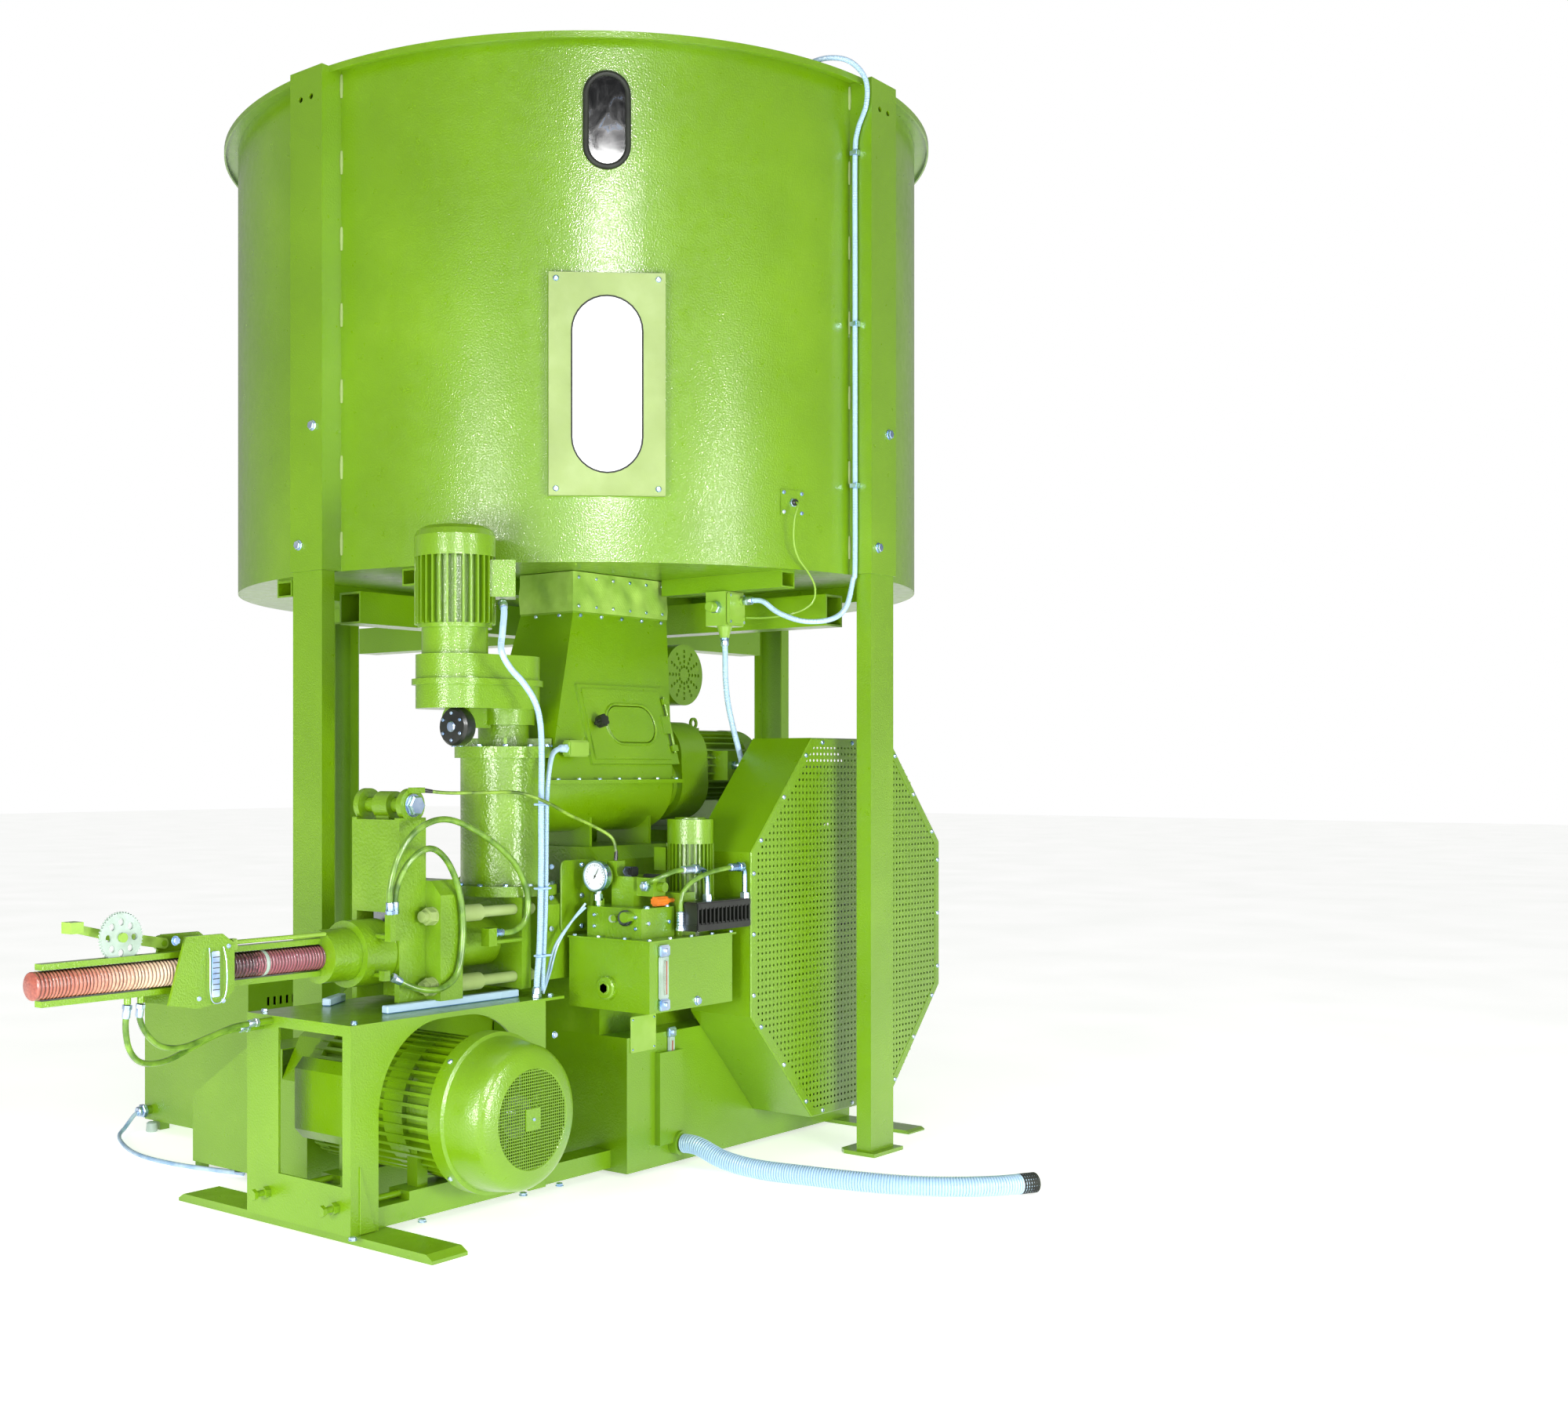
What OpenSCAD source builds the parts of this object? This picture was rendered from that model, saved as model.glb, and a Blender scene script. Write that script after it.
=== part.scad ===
// Briquetting press with its feed silo. Millimetres, +Z up; the origin is on the floor
// under the silo's axis, and the strand leaves towards -X.

/* [Silo] */
// Outer radius of the silo shell
silo_r = 1250; // [1040:10:1500]
// Height of the shell's bottom edge above the floor
silo_z = 1894; // [1870:1:2300]
// Height of the shell
silo_h = 1613; // [1300:1:2000]
// Sheet thickness of the shell
shell_t = 4; // [3:0.5:8]
// Width of the rim's flange
rim_w = 50; // [30:1:80]
// Height of the floor beams
beam_h = 54; // [40:1:80]

/* [Legs] */
// Width of a leg channel
leg_w = 140; // [100:1:170]
// Depth of a leg channel's flanges
leg_depth = 54; // [40:1:70]
// Sheet thickness of a leg channel
leg_t = 6; // [4:0.5:8]
// Length of leg that is bolted inside its sleeve
leg_grip = 560; // [300:10:800]

/* [Press line] */
// Height of the ram's axis above the floor
line_z = 740; // [735:1:800]
// Distance of the ram's axis from the silo's axis
line_y = -650; // [-660:1:-640]
// Radius of the pressed strand and of the ram
strand_r = 35; // [25:1:45]
// Length of strand outside the die
strand_l = 898; // [700:1:1100]
// Radius of the die's barrel
die_r = 74; // [60:1:90]
// Radius of the tie rods
tie_r = 16; // [10:1:20]

/* [Crank drive] */
// Height of the crank's throw
crank_throw = 50; // [30:1:60]
// Distance between the connecting rod's eyes
rod_len = 400; // [380:1:420]
// Radius of the crank's main journals
journal_r = 70; // [50:1:85]
// Radius of both flywheels
flywheel_r = 540; // [430:5:560]
// Thickness of the plain flywheel
flywheel_t = 130; // [80:1:150]

/* [Motor] */
// Height of the motor's shaft
motor_z = 303; // [280:1:330]
// Radius of the motor's cowl
motor_r = 225; // [185:1:270]
// Radius of the motor's belt pulley
pulley_r = 110; // [90:1:135]
// Width of the belt set
belt_w = 75; // [50:1:90]

/* [Feeding] */
// Outer radius of the vertical feeder tube
feeder_r = 132; // [110:1:150]
// Radius of the trough's half round bottom
trough_r = 150; // [120:1:160]
// Outer radius of the feeder motor's fins
feeder_motor_r = 122; // [90:1:150]

/* [Hydraulics and cabinet] */
// Height of the oil tank
tank_h = 209; // [150:1:260]
// Height of the control cabinet's body
cabinet_h = 550; // [300:1:600]

/* [Fits] */
// Radial clearance of shafts in their bores
run_gap = 0.05; // [0.02:0.01:0.08]
// Gap between neighbouring pieces that do not touch
free_gap = 0.5; // [0.3:0.1:1]

/* [Hidden] */
$fn = 48;

green = [0.54, 0.73, 0.17];
pale_green = [0.80, 0.88, 0.63];
steel = [0.78, 0.80, 0.82];
zinc = [0.70, 0.80, 0.88];
dark = [0.12, 0.13, 0.12];
plate_t = 8;
sheet_t = 3;
sleeper_h = 23;

// Silo
silo_top = silo_z + silo_h;
shell_in = silo_r - shell_t;
rim_t = 6;
sleeve_t = 6;
leg_r = silo_r + 74;
sleeve_half = leg_w / 2 + free_gap + sleeve_t;
anchor_r = 9;
anchor_pcd_r = leg_r - 34;
window_z = silo_z + 545;
sight_z = silo_z + 1358;
beam_w = 75;
beam_x = 305;
low_beam_w = 100;
low_beam_h = 105;
low_beam_z = silo_z - beam_h - low_beam_h;
mixer_r = 40;
mixer_motor_z = low_beam_z - 141;

// Chute between the silo floor and the screw trough
trough_z = 1219;
trough_x0 = -1058;
trough_x1 = -443;
chute_half = 150;
chute_top_z = silo_z - 109;
collar_h = 27;
collar_x0 = -778;
collar_x1 = -290;
collar_y0 = line_y - 6;
collar_y1 = line_y + 221;
chute_t = 4;
cuff_t = 4;
screw_z = trough_z - 11;
shaft_r = 30;

// Vertical feeder
feeder_x = -1099;
flange_t = 31;
head_top = line_z + 136;
tube_z = head_top + flange_t;
tube_top = tube_z + 385;
gear_z = tube_top + 100;
feeder_motor_x = -1286;
feeder_motor_y = line_y + 25;

// Press body
bed_x0 = -843;
bed_x1 = 430;
bed_half = 280;
bed_top = line_z - 310;
neck_half = 170;
tower_x0 = -330;
crank_x = 73;
pin_r = 55;
ring_in = pin_r + 2.42 * crank_throw + 6;
ring_out = ring_in + 34;
ring_w = 50;
bearing_w = 80;
bearing_t = 25;
chamber_x0 = crank_x - crank_throw - ring_out - 12;
chamber_x1 = crank_x + crank_throw + ring_out + 12;
chamber_h = ring_out + crank_throw + 14;
tower_top = line_z + chamber_h + 30;
gudgeon_x = crank_x - crank_throw - rod_len;
gudgeon_r = 22;
crosshead_r = 80;
crosshead_l = 120;
ram_tip = -1200;
head_x0 = -1180;
die_x0 = -1853;
die_x1 = -1190;
tie_y = die_r + 51;
tie_z = 100;
clamp_x0 = -1635;
clamp_x1 = -1530;
cheek_in = die_r + 4;
cheek_out = cheek_in + 20;
clamp_pin_z = line_z + 415;
clamp_x = (clamp_x0 + clamp_x1) / 2;
clamp_rod_r = 22;
jaw_z = line_z + die_r + free_gap;

// Flywheels, belts and guards
fly_y0 = line_y - 480;
fly_y1 = fly_y0 + flywheel_t;
belt_y0 = line_y + 305;
belt_y1 = belt_y0 + belt_w;
belt_t = 8;
motor_x = -1500;
guard_side = flywheel_r + 49;
guard_h = flywheel_r + 80;
guard_dx = guard_side * 0.415;
guard_dz = guard_h * 0.415;
guard_y0 = line_y - 513;
belt_guard_y0 = line_y + 288;
belt_guard_y1 = belt_y1 + 22;

// Motor
motor_cowl_y = line_y - 482;
stator_y0 = line_y - 320;
stator_y1 = line_y + 250;
stator_r = motor_r - 25;
motor_shaft_r = 30;
feet_z = motor_z - motor_r;
cowl_l = stator_y0 - motor_cowl_y + 20;
foot_y = [line_y - 215, line_y + 65];

// Table
table_x0 = -1941;
table_x1 = -1080;
table_y0 = line_y - 231;
table_y1 = line_y + 195;
table_top = motor_z + 277;

// Outfeed
strand_x0 = die_x0 - strand_l - 7;
rail_t = 15;
rail_gap = 2;
wheel_r = 64;
wheel_x = -2500;
wheel_z = line_z + strand_r + wheel_r + 0.5;
pivot_x = -2344;
pivot_z = wheel_z - 28;

// Hydraulics
tank_x0 = -993;
tank_x1 = -578;
tank_y0 = line_y - 486;
tank_y1 = line_y - 175;
tank_z = line_z - 203;
lid_t = 6;
lid_z = tank_z + tank_h;
knob_z = lid_z + 113;

// Cabinet
cabinet_x0 = -1357;
cabinet_x1 = -950;
cabinet_y0 = 256;
cabinet_y1 = 820;
cabinet_z = 35;

// Routes of the hoses and cables
clamp_hose_r = 9;
clamp_hose_route = [
    [-1700, -780, 857], [-1710, -790, 930], [-1690, -805, 1020], [-1640, -820, 1085],
    [-1560, -825, 1115], [-1470, -825, 1105], [-1350, -825, 1055], [-1240, -825, 980],
    [-1185, -825, 890], [-1190, -825, 815], [-1240, -820, 780], [-1310, -806, 780]
];
head_hose_route = [
    [-1675, -770, 857], [-1680, -785, 930], [-1650, -805, 1000], [-1590, -818, 1035],
    [-1530, -820, 1010], [-1480, -820, 940], [-1455, -820, 850], [-1455, -820, 750],
    [-1480, -820, 670], [-1550, -820, 637], [-1620, -800, 645], [-1688, -772, 680]
];
line_hose_r = 8;
line_hose_1_route = [
    [-2480, -650, 669], [-2480, -642, 610], [-2455, -625, 550], [-2400, -600, 510],
    [-2310, -575, 500], [-2200, -550, 522], [-2090, -530, 545], [-1990, -520, 548]
];
line_hose_2_route = [
    [-2440, -650, 668], [-2437, -642, 630], [-2400, -620, 585], [-2340, -600, 545],
    [-2260, -585, 532], [-2160, -570, 547], [-2070, -562, 563], [-1990, -560, 566]
];
clamp_cable_r = 5;
clamp_cable_route = [
    [-1555, -760, 1198], [-1480, -785, 1190], [-1360, -820, 1190], [-1240, -845, 1188],
    [-1150, -870, 1160], [-1050, -875, 1120], [-960, -885, 1088], [-895, -910, 1050],
    [-885, -920, 1010], [-885, -920, 979]
];
spiral_hose_r = 30;
spiral_hose_route = [
    [-600, -963, 75], [-600, -1020, 74], [-600, -1120, 45], [-590, -1240, 32], [-565, -1400, 32],
    [-530, -1550, 32], [-480, -1690, 32], [-400, -1810, 32], [-300, -1900, 32], [-190, -1960, 32]
];
floor_cable_r = 7;
floor_cable_route = [
    [-1384, 790, 70], [-1420, 790, 62], [-1470, 775, 28], [-1520, 740, 12], [-1580, 640, 9],
    [-1640, 500, 9], [-1665, 370, 9], [-1660, 220, 9], [-1630, 80, 9], [-1600, -20, 9]
];
shell_conduit_r = 9;
conduit_r = 10;

// A box between two corners
module box(x0, x1, y0, y1, z0, z1) {
    translate([x0, y0, z0])
        cube([x1 - x0, y1 - y0, z1 - z0]);
}

// Round bars along each axis
module bar_x(r, x0, x1, y, z) {
    translate([x0, y, z])
        rotate([0, 90, 0])
            cylinder(r = r, h = x1 - x0);
}

module bar_y(r, x, y0, y1, z) {
    translate([x, y0, z])
        rotate([-90, 0, 0])
            cylinder(r = r, h = y1 - y0);
}

module bar_z(r, x, y, z0, z1) {
    translate([x, y, z0])
        cylinder(r = r, h = z1 - z0);
}

// Hexagon heads and nuts along each axis
module hex_x(r, x0, x1, y, z) {
    translate([x0, y, z])
        rotate([0, 90, 0])
            cylinder(r = r, h = x1 - x0, $fn = 6);
}

module hex_y(r, x, y0, y1, z) {
    translate([x, y0, z])
        rotate([-90, 0, 0])
            cylinder(r = r, h = y1 - y0, $fn = 6);
}

module hex_z(r, x, y, z0, z1) {
    translate([x, y, z0])
        cylinder(r = r, h = z1 - z0, $fn = 6);
}

// An outline drawn in X and Z, given a thickness along Y
module plate_xz(y0, y1) {
    translate([0, y1, 0])
        rotate([90, 0, 0])
            linear_extrude(y1 - y0)
                children();
}

// An outline drawn in Y and Z, given a thickness along X
module plate_yz(x0, x1) {
    translate([x0, 0, 0])
        rotate([90, 0, 90])
            linear_extrude(x1 - x0)
                children();
}

// Flat outline round two circles, as a belt lies round its pulleys
module belt_outline(ax, az, ar, bx, bz, br) {
    span = norm([bx - ax, bz - az]);
    along = atan2(bz - az, bx - ax);
    lean = asin((br - ar) / span);
    up = along + 90 + lean;
    down = along - 90 - lean;
    a = ar - 0.2;
    b = br - 0.2;
    translate([ax, az])
        circle(r = ar);
    translate([bx, bz])
        circle(r = br);
    polygon([
        [ax + a * cos(up), az + a * sin(up)], [bx + b * cos(up), bz + b * sin(up)],
        [bx + b * cos(down), bz + b * sin(down)], [ax + a * cos(down), az + a * sin(down)]
    ]);
}

// Obround outline, upright
module obround(w, h) {
    translate([0, h / 2 - w / 2])
        circle(d = w);
    translate([0, w / 2 - h / 2])
        circle(d = w);
    square([w, h - w], center = true);
}

// Smooth curve through a route's points
function spline_point(p, i, t) =
    let (
        a = p[max(i - 1, 0)],
        b = p[i],
        c = p[i + 1],
        d = p[min(i + 2, len(p) - 1)]
    )
    0.5 * (2 * b + (c - a) * t + (2 * a - 5 * b + 4 * c - d) * t * t
        + (3 * b - a - 3 * c + d) * t * t * t);

function spline(p, steps) = [
    for (i = [0:len(p) - 2])
        for (k = [0:steps - 1])
            spline_point(p, i, k / steps),
    p[len(p) - 1]
];

function unit(v) = v / norm(v);

// Tube along a route; side is a direction that the route never runs along
module tube(route, r, side, steps = 2, sides = 8) {
    line = spline(route, steps);
    last = len(line) - 1;
    rings = [
        for (i = [0:last])
            let (
                run = unit(line[min(i + 1, last)] - line[max(i - 1, 0)]),
                u = unit(cross(run, side)),
                v = cross(run, u)
            )
            for (k = [0:sides - 1])
                line[i] + r * (u * cos(360 * k / sides) + v * sin(360 * k / sides))
    ];
    walls = [
        for (i = [0:last - 1])
            for (k = [0:sides - 1])
                let (n = (k + 1) % sides, a = i * sides, b = a + sides)
                each [[a + k, b + k, b + n], [a + k, b + n, a + n]]
    ];
    ends = [
        [for (k = [0:sides - 1]) k],
        [for (k = [sides - 1:-1:0]) last * sides + k]
    ];
    polyhedron(points = rings, faces = concat(walls, ends), convexity = 6);
}

// Repeats its children at the four legs
module at_legs() {
    for (a = [0:90:270])
        rotate([0, 0, a])
            children();
}

// Turns its children to the windows' side
module at_windows() {
    rotate([0, 0, -135])
        children();
}

// Silo shell with its rim and the four welded leg sleeves
module silo_shell() {
    color(green)
        difference() {
            union() {
                rotate_extrude($fn = 128)
                    polygon([
                        [shell_in, silo_z], [silo_r, silo_z], [silo_r, silo_top - rim_t],
                        [silo_r + rim_w - rim_t, silo_top - rim_t],
                        [silo_r + rim_w - rim_t, silo_top - 20],
                        [silo_r + rim_w, silo_top - 20], [silo_r + rim_w, silo_top],
                        [shell_in, silo_top]
                    ]);
                at_legs()
                    sleeve();
            }
            at_windows() {
                translate([0, 0, window_z])
                    rotate([90, 0, 90])
                        linear_extrude(silo_r * 2)
                            obround(222, 546);
                translate([0, 0, sight_z])
                    rotate([90, 0, 90])
                        linear_extrude(silo_r * 2)
                            obround(142, 298);
            }
            at_legs()
                for (y = [-25, 25])
                    bar_x(9, leg_r - 20, leg_r + 20, y, silo_top - 95);
        }
}

module sleeve() {
    box(leg_r, leg_r + sleeve_t, -sleeve_half, sleeve_half, silo_z, silo_top - 2);
    for (y = [-sleeve_half, sleeve_half - sleeve_t])
        box(silo_r - 2.5, leg_r + sleeve_t, y, y + sleeve_t, silo_z, silo_top - 2);
}

// Bottom plate of the silo with its beams
module silo_floor() {
    beam_z = silo_z - beam_h;
    color(green)
        difference() {
            union() {
                bar_z(shell_in - free_gap, 0, 0, silo_z, silo_z + plate_t);
                for (s = [-beam_x, beam_x]) {
                    floor_channel(s, 1160, beam_z);
                    rotate([0, 0, 90])
                        floor_channel(s, 1160, beam_z);
                }
                box(-1139, 1139, -low_beam_w / 2, low_beam_w / 2, low_beam_z, beam_z);
                box(-low_beam_w / 2, low_beam_w / 2, -1139, 1139, low_beam_z, beam_z);
                box(-low_beam_w, low_beam_w, -low_beam_w, low_beam_w, low_beam_z, silo_z);
            }
            box(collar_x0 - 20, collar_x1 + 20, collar_y0 - 20, collar_y1 + 20, beam_z - 1, silo_z);
            box(collar_x0 + 8, collar_x1 - 8, collar_y0 + 8, collar_y1 - 8, silo_z - 1, silo_z + 20);
            bar_z(mixer_r + run_gap, 0, 0, low_beam_z - 1, silo_z + 20);
            for (a = [0:90:270])
                rotate([0, 0, a])
                    box(1000, 1200, -low_beam_w / 2 + 7, low_beam_w / 2 - 7, low_beam_z + 7, beam_z - 7);
        }
}

// One open channel along Y under the silo floor
module floor_channel(x, half, z) {
    difference() {
        box(x - beam_w / 2, x + beam_w / 2, -half, half, z, silo_z);
        box(x - beam_w / 2 + 6, x + beam_w / 2 - 6, -half - 1, half + 1, z + 6, silo_z - 6);
    }
}

// Four leg channels with floor plates
module silo_legs() {
    color(green)
        at_legs()
            leg();
}

module leg() {
    top = silo_z + leg_grip;
    foot_x0 = leg_r - 115;
    foot_x1 = leg_r + 25;
    foot_half = leg_w / 2 + 20;
    difference() {
        union() {
            box(leg_r - leg_t, leg_r, -leg_w / 2, leg_w / 2, 12, top);
            for (y = [-leg_w / 2, leg_w / 2 - leg_t])
                box(leg_r - leg_depth, leg_r, y, y + leg_t, 12, top);
            linear_extrude(12)
                polygon([
                    [foot_x0 + 25, -foot_half], [foot_x1, -foot_half], [foot_x1, foot_half],
                    [foot_x0 + 25, foot_half], [foot_x0, foot_half - 25], [foot_x0, 25 - foot_half]
                ]);
        }
        bar_z(anchor_r, anchor_pcd_r, 0, -1, 13);
    }
    for (z = [silo_z + 80, silo_z + 460])
        hex_x(14, leg_r - leg_t - 12, leg_r - leg_t, -20, z);
}

// Flat frame of the long window, with its back curved to the shell
module window_plate() {
    color(pale_green)
        at_windows()
            difference() {
                box(silo_r - 30, silo_r + 12, -180, 180, window_z - 342, window_z + 342);
                translate([0, 0, silo_z])
                    cylinder(r = silo_r + free_gap, h = silo_h, $fn = 256);
                translate([0, 0, window_z])
                    rotate([90, 0, 90])
                        linear_extrude(silo_r * 2)
                            obround(222, 546);
            }
}

// Panes of the long window and of the sight glass
module window_glass() {
    color([0.9, 0.93, 0.95])
        at_windows() {
            translate([silo_r + 4, 0, window_z])
                rotate([90, 0, 90])
                    linear_extrude(8)
                        obround(221, 545);
            translate([silo_r - 8, 0, sight_z])
                rotate([90, 0, 90])
                    linear_extrude(16)
                        obround(141, 297);
        }
}

// Cable junction box under a floor beam
module junction_box() {
    z = silo_z - beam_h;
    color([0.80, 0.87, 0.60])
        difference() {
            union() {
                box(-355, -255, -950, -870, z - 112, z);
                translate([-305, -910, z - 150])
                    cylinder(r1 = 14, r2 = 26, h = 38);
                bar_y(13, -285, -975, -950, z - 30);
            }
            bar_z(conduit_r + 1, -305, -910, z - 151, z - 130);
        }
}

// Stirrer that keeps the silo's contents moving
module agitator() {
    z0 = silo_z + plate_t + 12;
    color(steel) {
        difference() {
            union() {
                bar_z(mixer_r, 0, 0, mixer_motor_z + 20, z0 + 90);
                bar_z(95, 0, 0, z0, z0 + 80);
                for (a = [20, 200])
                    rotate([0, 0, a])
                        box(60, shell_in - 60, -22, 22, z0, z0 + 40);
                for (a = [20, 200])
                    rotate([0, 0, a])
                        translate([shell_in - 190, 0, z0])
                            rotate([0, 0, 55])
                                box(-10, 150, -8, 8, 0, 90);
            }
            bar_z(10, 0, 0, z0 + 60, z0 + 91);
        }
    }
}

// Right angle gearmotor of the stirrer
module agitator_motor() {
    z = mixer_motor_z;
    color(green)
        difference() {
            union() {
                bar_z(125, 0, 0, z - 105, low_beam_z - 20);
                bar_z(90, 0, 0, low_beam_z - 20, low_beam_z);
                bar_y(118, 0, -190, -110, z);
                finned_y(88, 106, 0, -400, -190, z, 22);
                bar_y(109, 0, -512, -400, z);
                box(70, 150, -330, -230, z - 45, z + 45);
            }
            bar_z(mixer_r + run_gap, 0, 0, z - 20, low_beam_z + 1);
            for (r = [30:18:84])
                for (a = [0:30:330])
                    bar_y(6, r * cos(a), -520, -506, z + r * sin(a));
        }
}

// Finned motor barrel along Y
module finned_y(core, r, x, y0, y1, z, fins) {
    translate([x, y1, z])
        rotate([90, 0, 0])
            linear_extrude(y1 - y0)
                fins_outline(core, r, fins);
}

module fins_outline(core, r, fins) {
    circle(r = core);
    for (i = [0:fins - 1])
        rotate(i * 360 / fins)
            translate([0, -r * 0.025])
                square([r, r * 0.05]);
}

// Tapered chute; each wall leans from the trough's edge to the collar's edge
module chute_body(grow, past = 0) {
    intersection() {
        plate_xz(line_y - 400, line_y + 400)
            polygon([
                [trough_x0 - grow, trough_z - past], [trough_x0 - grow, trough_z],
                [collar_x0 - grow, chute_top_z - collar_h], [collar_x0 - grow, chute_top_z + past],
                [collar_x1 + grow, chute_top_z + past], [collar_x1 + grow, chute_top_z - collar_h],
                [trough_x1 + grow, trough_z], [trough_x1 + grow, trough_z - past]
            ]);
        plate_yz(-1400, 0)
            polygon([
                [line_y - chute_half - grow, trough_z - past], [line_y - chute_half - grow, trough_z],
                [collar_y0 - grow, chute_top_z - collar_h], [collar_y0 - grow, chute_top_z + past],
                [collar_y1 + grow, chute_top_z + past], [collar_y1 + grow, chute_top_z - collar_h],
                [line_y + chute_half + grow, trough_z], [line_y + chute_half + grow, trough_z - past]
            ]);
    }
}

// The chute's leaning front wall, with Z up the slope
function chute_lean() = atan2(collar_y0 - line_y + chute_half, chute_top_z - collar_h - trough_z);

module on_chute_front() {
    translate([0, line_y - chute_half, trough_z])
        rotate([-chute_lean(), 0, 0])
            children();
}

door_x0 = -830;
door_x1 = -440;
door_s0 = 70;
door_s1 = 300;
door_mid = (door_s0 + door_s1) / 2;
door_t = 5;
door_y = -10;

module outlet_chute() {
    color(green)
        difference() {
            union() {
                difference() {
                    chute_body(0);
                    chute_body(-chute_t, 1);
                }
                difference() {
                    box(trough_x0 - 25, trough_x1 + 25, line_y - chute_half - 25, line_y + chute_half + 25,
                        trough_z, trough_z + 6);
                    box(trough_x0 + chute_t, trough_x1 - chute_t, line_y - chute_half + chute_t,
                        line_y + chute_half - chute_t, trough_z - 1, trough_z + 7);
                }
                on_chute_front() {
                    difference() {
                        box(door_x0 - 15, door_x1 + 40, door_y, 1, door_s0 - 15, door_s1 + 15);
                        box(door_x0 + 12, door_x1 - 12, door_y - 1, 2, door_s0 + 12, door_s1 - 12);
                    }
                    for (s = [door_s0 + 25, door_s1 - 45])
                        difference() {
                            box(door_x1 + 6, door_x1 + 30, door_y - 16, door_y + 1, s, s + 20);
                            bar_z(5 + run_gap, door_x1 + 18, door_y - 9, s - 1, s + 21);
                        }
                }
            }
            on_chute_front()
                box(door_x0 + 12, door_x1 - 12, door_y - 1, 40, door_s0 + 12, door_s1 - 12);
            bar_z(feeder_r + free_gap, feeder_x, line_y, trough_z - 1, tube_top);
            bar_z(feeder_r + 18.5, feeder_x, line_y, tube_top - free_gap, tube_top + 61);
            bar_x(60 + free_gap, trough_x1 - 30, trough_x1 + 80, line_y, screw_z);
        }
}

// Canvas sleeve between the silo outlet and the chute
module chute_cuff() {
    x0 = collar_x0 - free_gap;
    x1 = collar_x1 + free_gap;
    y0 = collar_y0 - free_gap;
    y1 = collar_y1 + free_gap;
    z0 = chute_top_z - collar_h + 4;
    color([0.72, 0.82, 0.45])
        difference() {
            box(x0 - cuff_t, x1 + cuff_t, y0 - cuff_t, y1 + cuff_t, z0, silo_z);
            box(x0, x1, y0, y1, z0 - 1, silo_z + 1);
        }
}

// Inspection door with its window opening and hinge pin
module inspection_door() {
    color(green)
        on_chute_front()
            difference() {
                union() {
                    box(door_x0, door_x1, door_y - door_t - free_gap, door_y - free_gap, door_s0, door_s1);
                    box(door_x1 - 20, door_x1 + 18, door_y - 13, door_y - door_t, door_mid - 30,
                        door_mid + 30);
                    bar_z(5, door_x1 + 18, door_y - 9, door_s0 + 20, door_s1 - 20);
                }
                translate([(door_x0 + door_x1) / 2 + 15, door_y + 1, door_mid])
                    rotate([90, 0, 0])
                        linear_extrude(20)
                            rotate(90)
                                obround(130, 250);
                translate([door_x0 + 30, door_y + 10, door_mid])
                    rotate([90, 0, 0])
                        cylinder(r = 6 + run_gap, h = 40);
            }
}

// Turning latch of the door
module door_knob() {
    color(dark)
        on_chute_front()
            translate([door_x0 + 30, 0, door_mid]) {
                bar_y(6, 0, door_y - 30, door_y + 6, 0);
                difference() {
                    bar_y(20, 0, door_y - 48, door_y - 22, 0);
                    for (a = [0:60:300])
                        bar_y(6, 22 * cos(a), door_y - 49, door_y - 30, 22 * sin(a));
                }
            }
}

// Half round trough under the chute
module trough_section(r, top) {
    difference() {
        union() {
            translate([line_y, screw_z])
                circle(r = r);
            translate([line_y - r, screw_z])
                square([2 * r, top - screw_z]);
        }
        translate([line_y - 2 * r, top])
            square([4 * r, 2 * r]);
    }
}

module screw_trough() {
    x0 = trough_x0;
    x1 = trough_x1;
    color(green)
        difference() {
            union() {
                plate_yz(x0, x1)
                    trough_section(trough_r, trough_z);
                box(x0 - 25, x1 + 25, line_y - chute_half - 25, line_y + chute_half + 25,
                    trough_z - 6, trough_z);
                bar_x(60, x1, x1 + 70, line_y, screw_z);
                for (x = [-820, -520])
                    box(x, x + 12, line_y - 110, line_y + 110, tower_top - 36, screw_z - 90);
            }
            plate_yz(x0 + 5, x1 - 6)
                trough_section(trough_r - 5, trough_z + 1);
            bar_x(shaft_r + run_gap, x1 - 10, x1 + 71, line_y, screw_z);
            bar_z(feeder_r + free_gap, feeder_x, line_y, screw_z - trough_r - 1, trough_z + 1);
        }
}

// Screw flight: a blade turned round the shaft
module flight(r, l, pitch, hand) {
    linear_extrude(l, twist = -hand * 360 * l / pitch, slices = ceil(l / pitch * 20))
        translate([0, -7])
            square([r, 14]);
}

module trough_screw() {
    x0 = feeder_x + feeder_r + 18;
    x1 = trough_x1 - 24;
    color(steel) {
        bar_x(shaft_r, x0, trough_x1 + 170, line_y, screw_z);
        translate([x0 + 4, line_y, screw_z])
            rotate([0, 90, 0])
                flight(trough_r - 20, x1 - x0 - 4, 160, 1);
    }
}

// Gearmotor that turns the trough screw
module trough_gearmotor() {
    x0 = trough_x1 + 70;
    z = screw_z + 62;
    color(green)
        difference() {
            union() {
                bar_x(100, x0, x0 + 20, line_y, screw_z);
                plate_yz(x0 + 20, x0 + 165)
                    belt_outline(line_y, screw_z, 122, line_y, z + 30, 118);
                translate([x0 + 430, line_y, z])
                    rotate([0, -90, 0])
                        linear_extrude(275)
                            fins_outline(100, 122, 28);
                bar_x(124, x0 + 400, x0 + 475, line_y, z);
                box(x0 + 210, x0 + 310, line_y - 170, line_y - 90, z - 50, z + 50);
                hex_z(20, x0 + 243, line_y, z + 110, z + 130);
            }
            bar_x(shaft_r + run_gap, x0 - 1, x0 + 130, line_y, screw_z);
        }
    color(zinc)
        difference() {
            bar_y(20, x0 + 243, line_y - 4, line_y + 4, z + 146);
            bar_y(12, x0 + 243, line_y - 5, line_y + 5, z + 146);
        }
}

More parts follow.
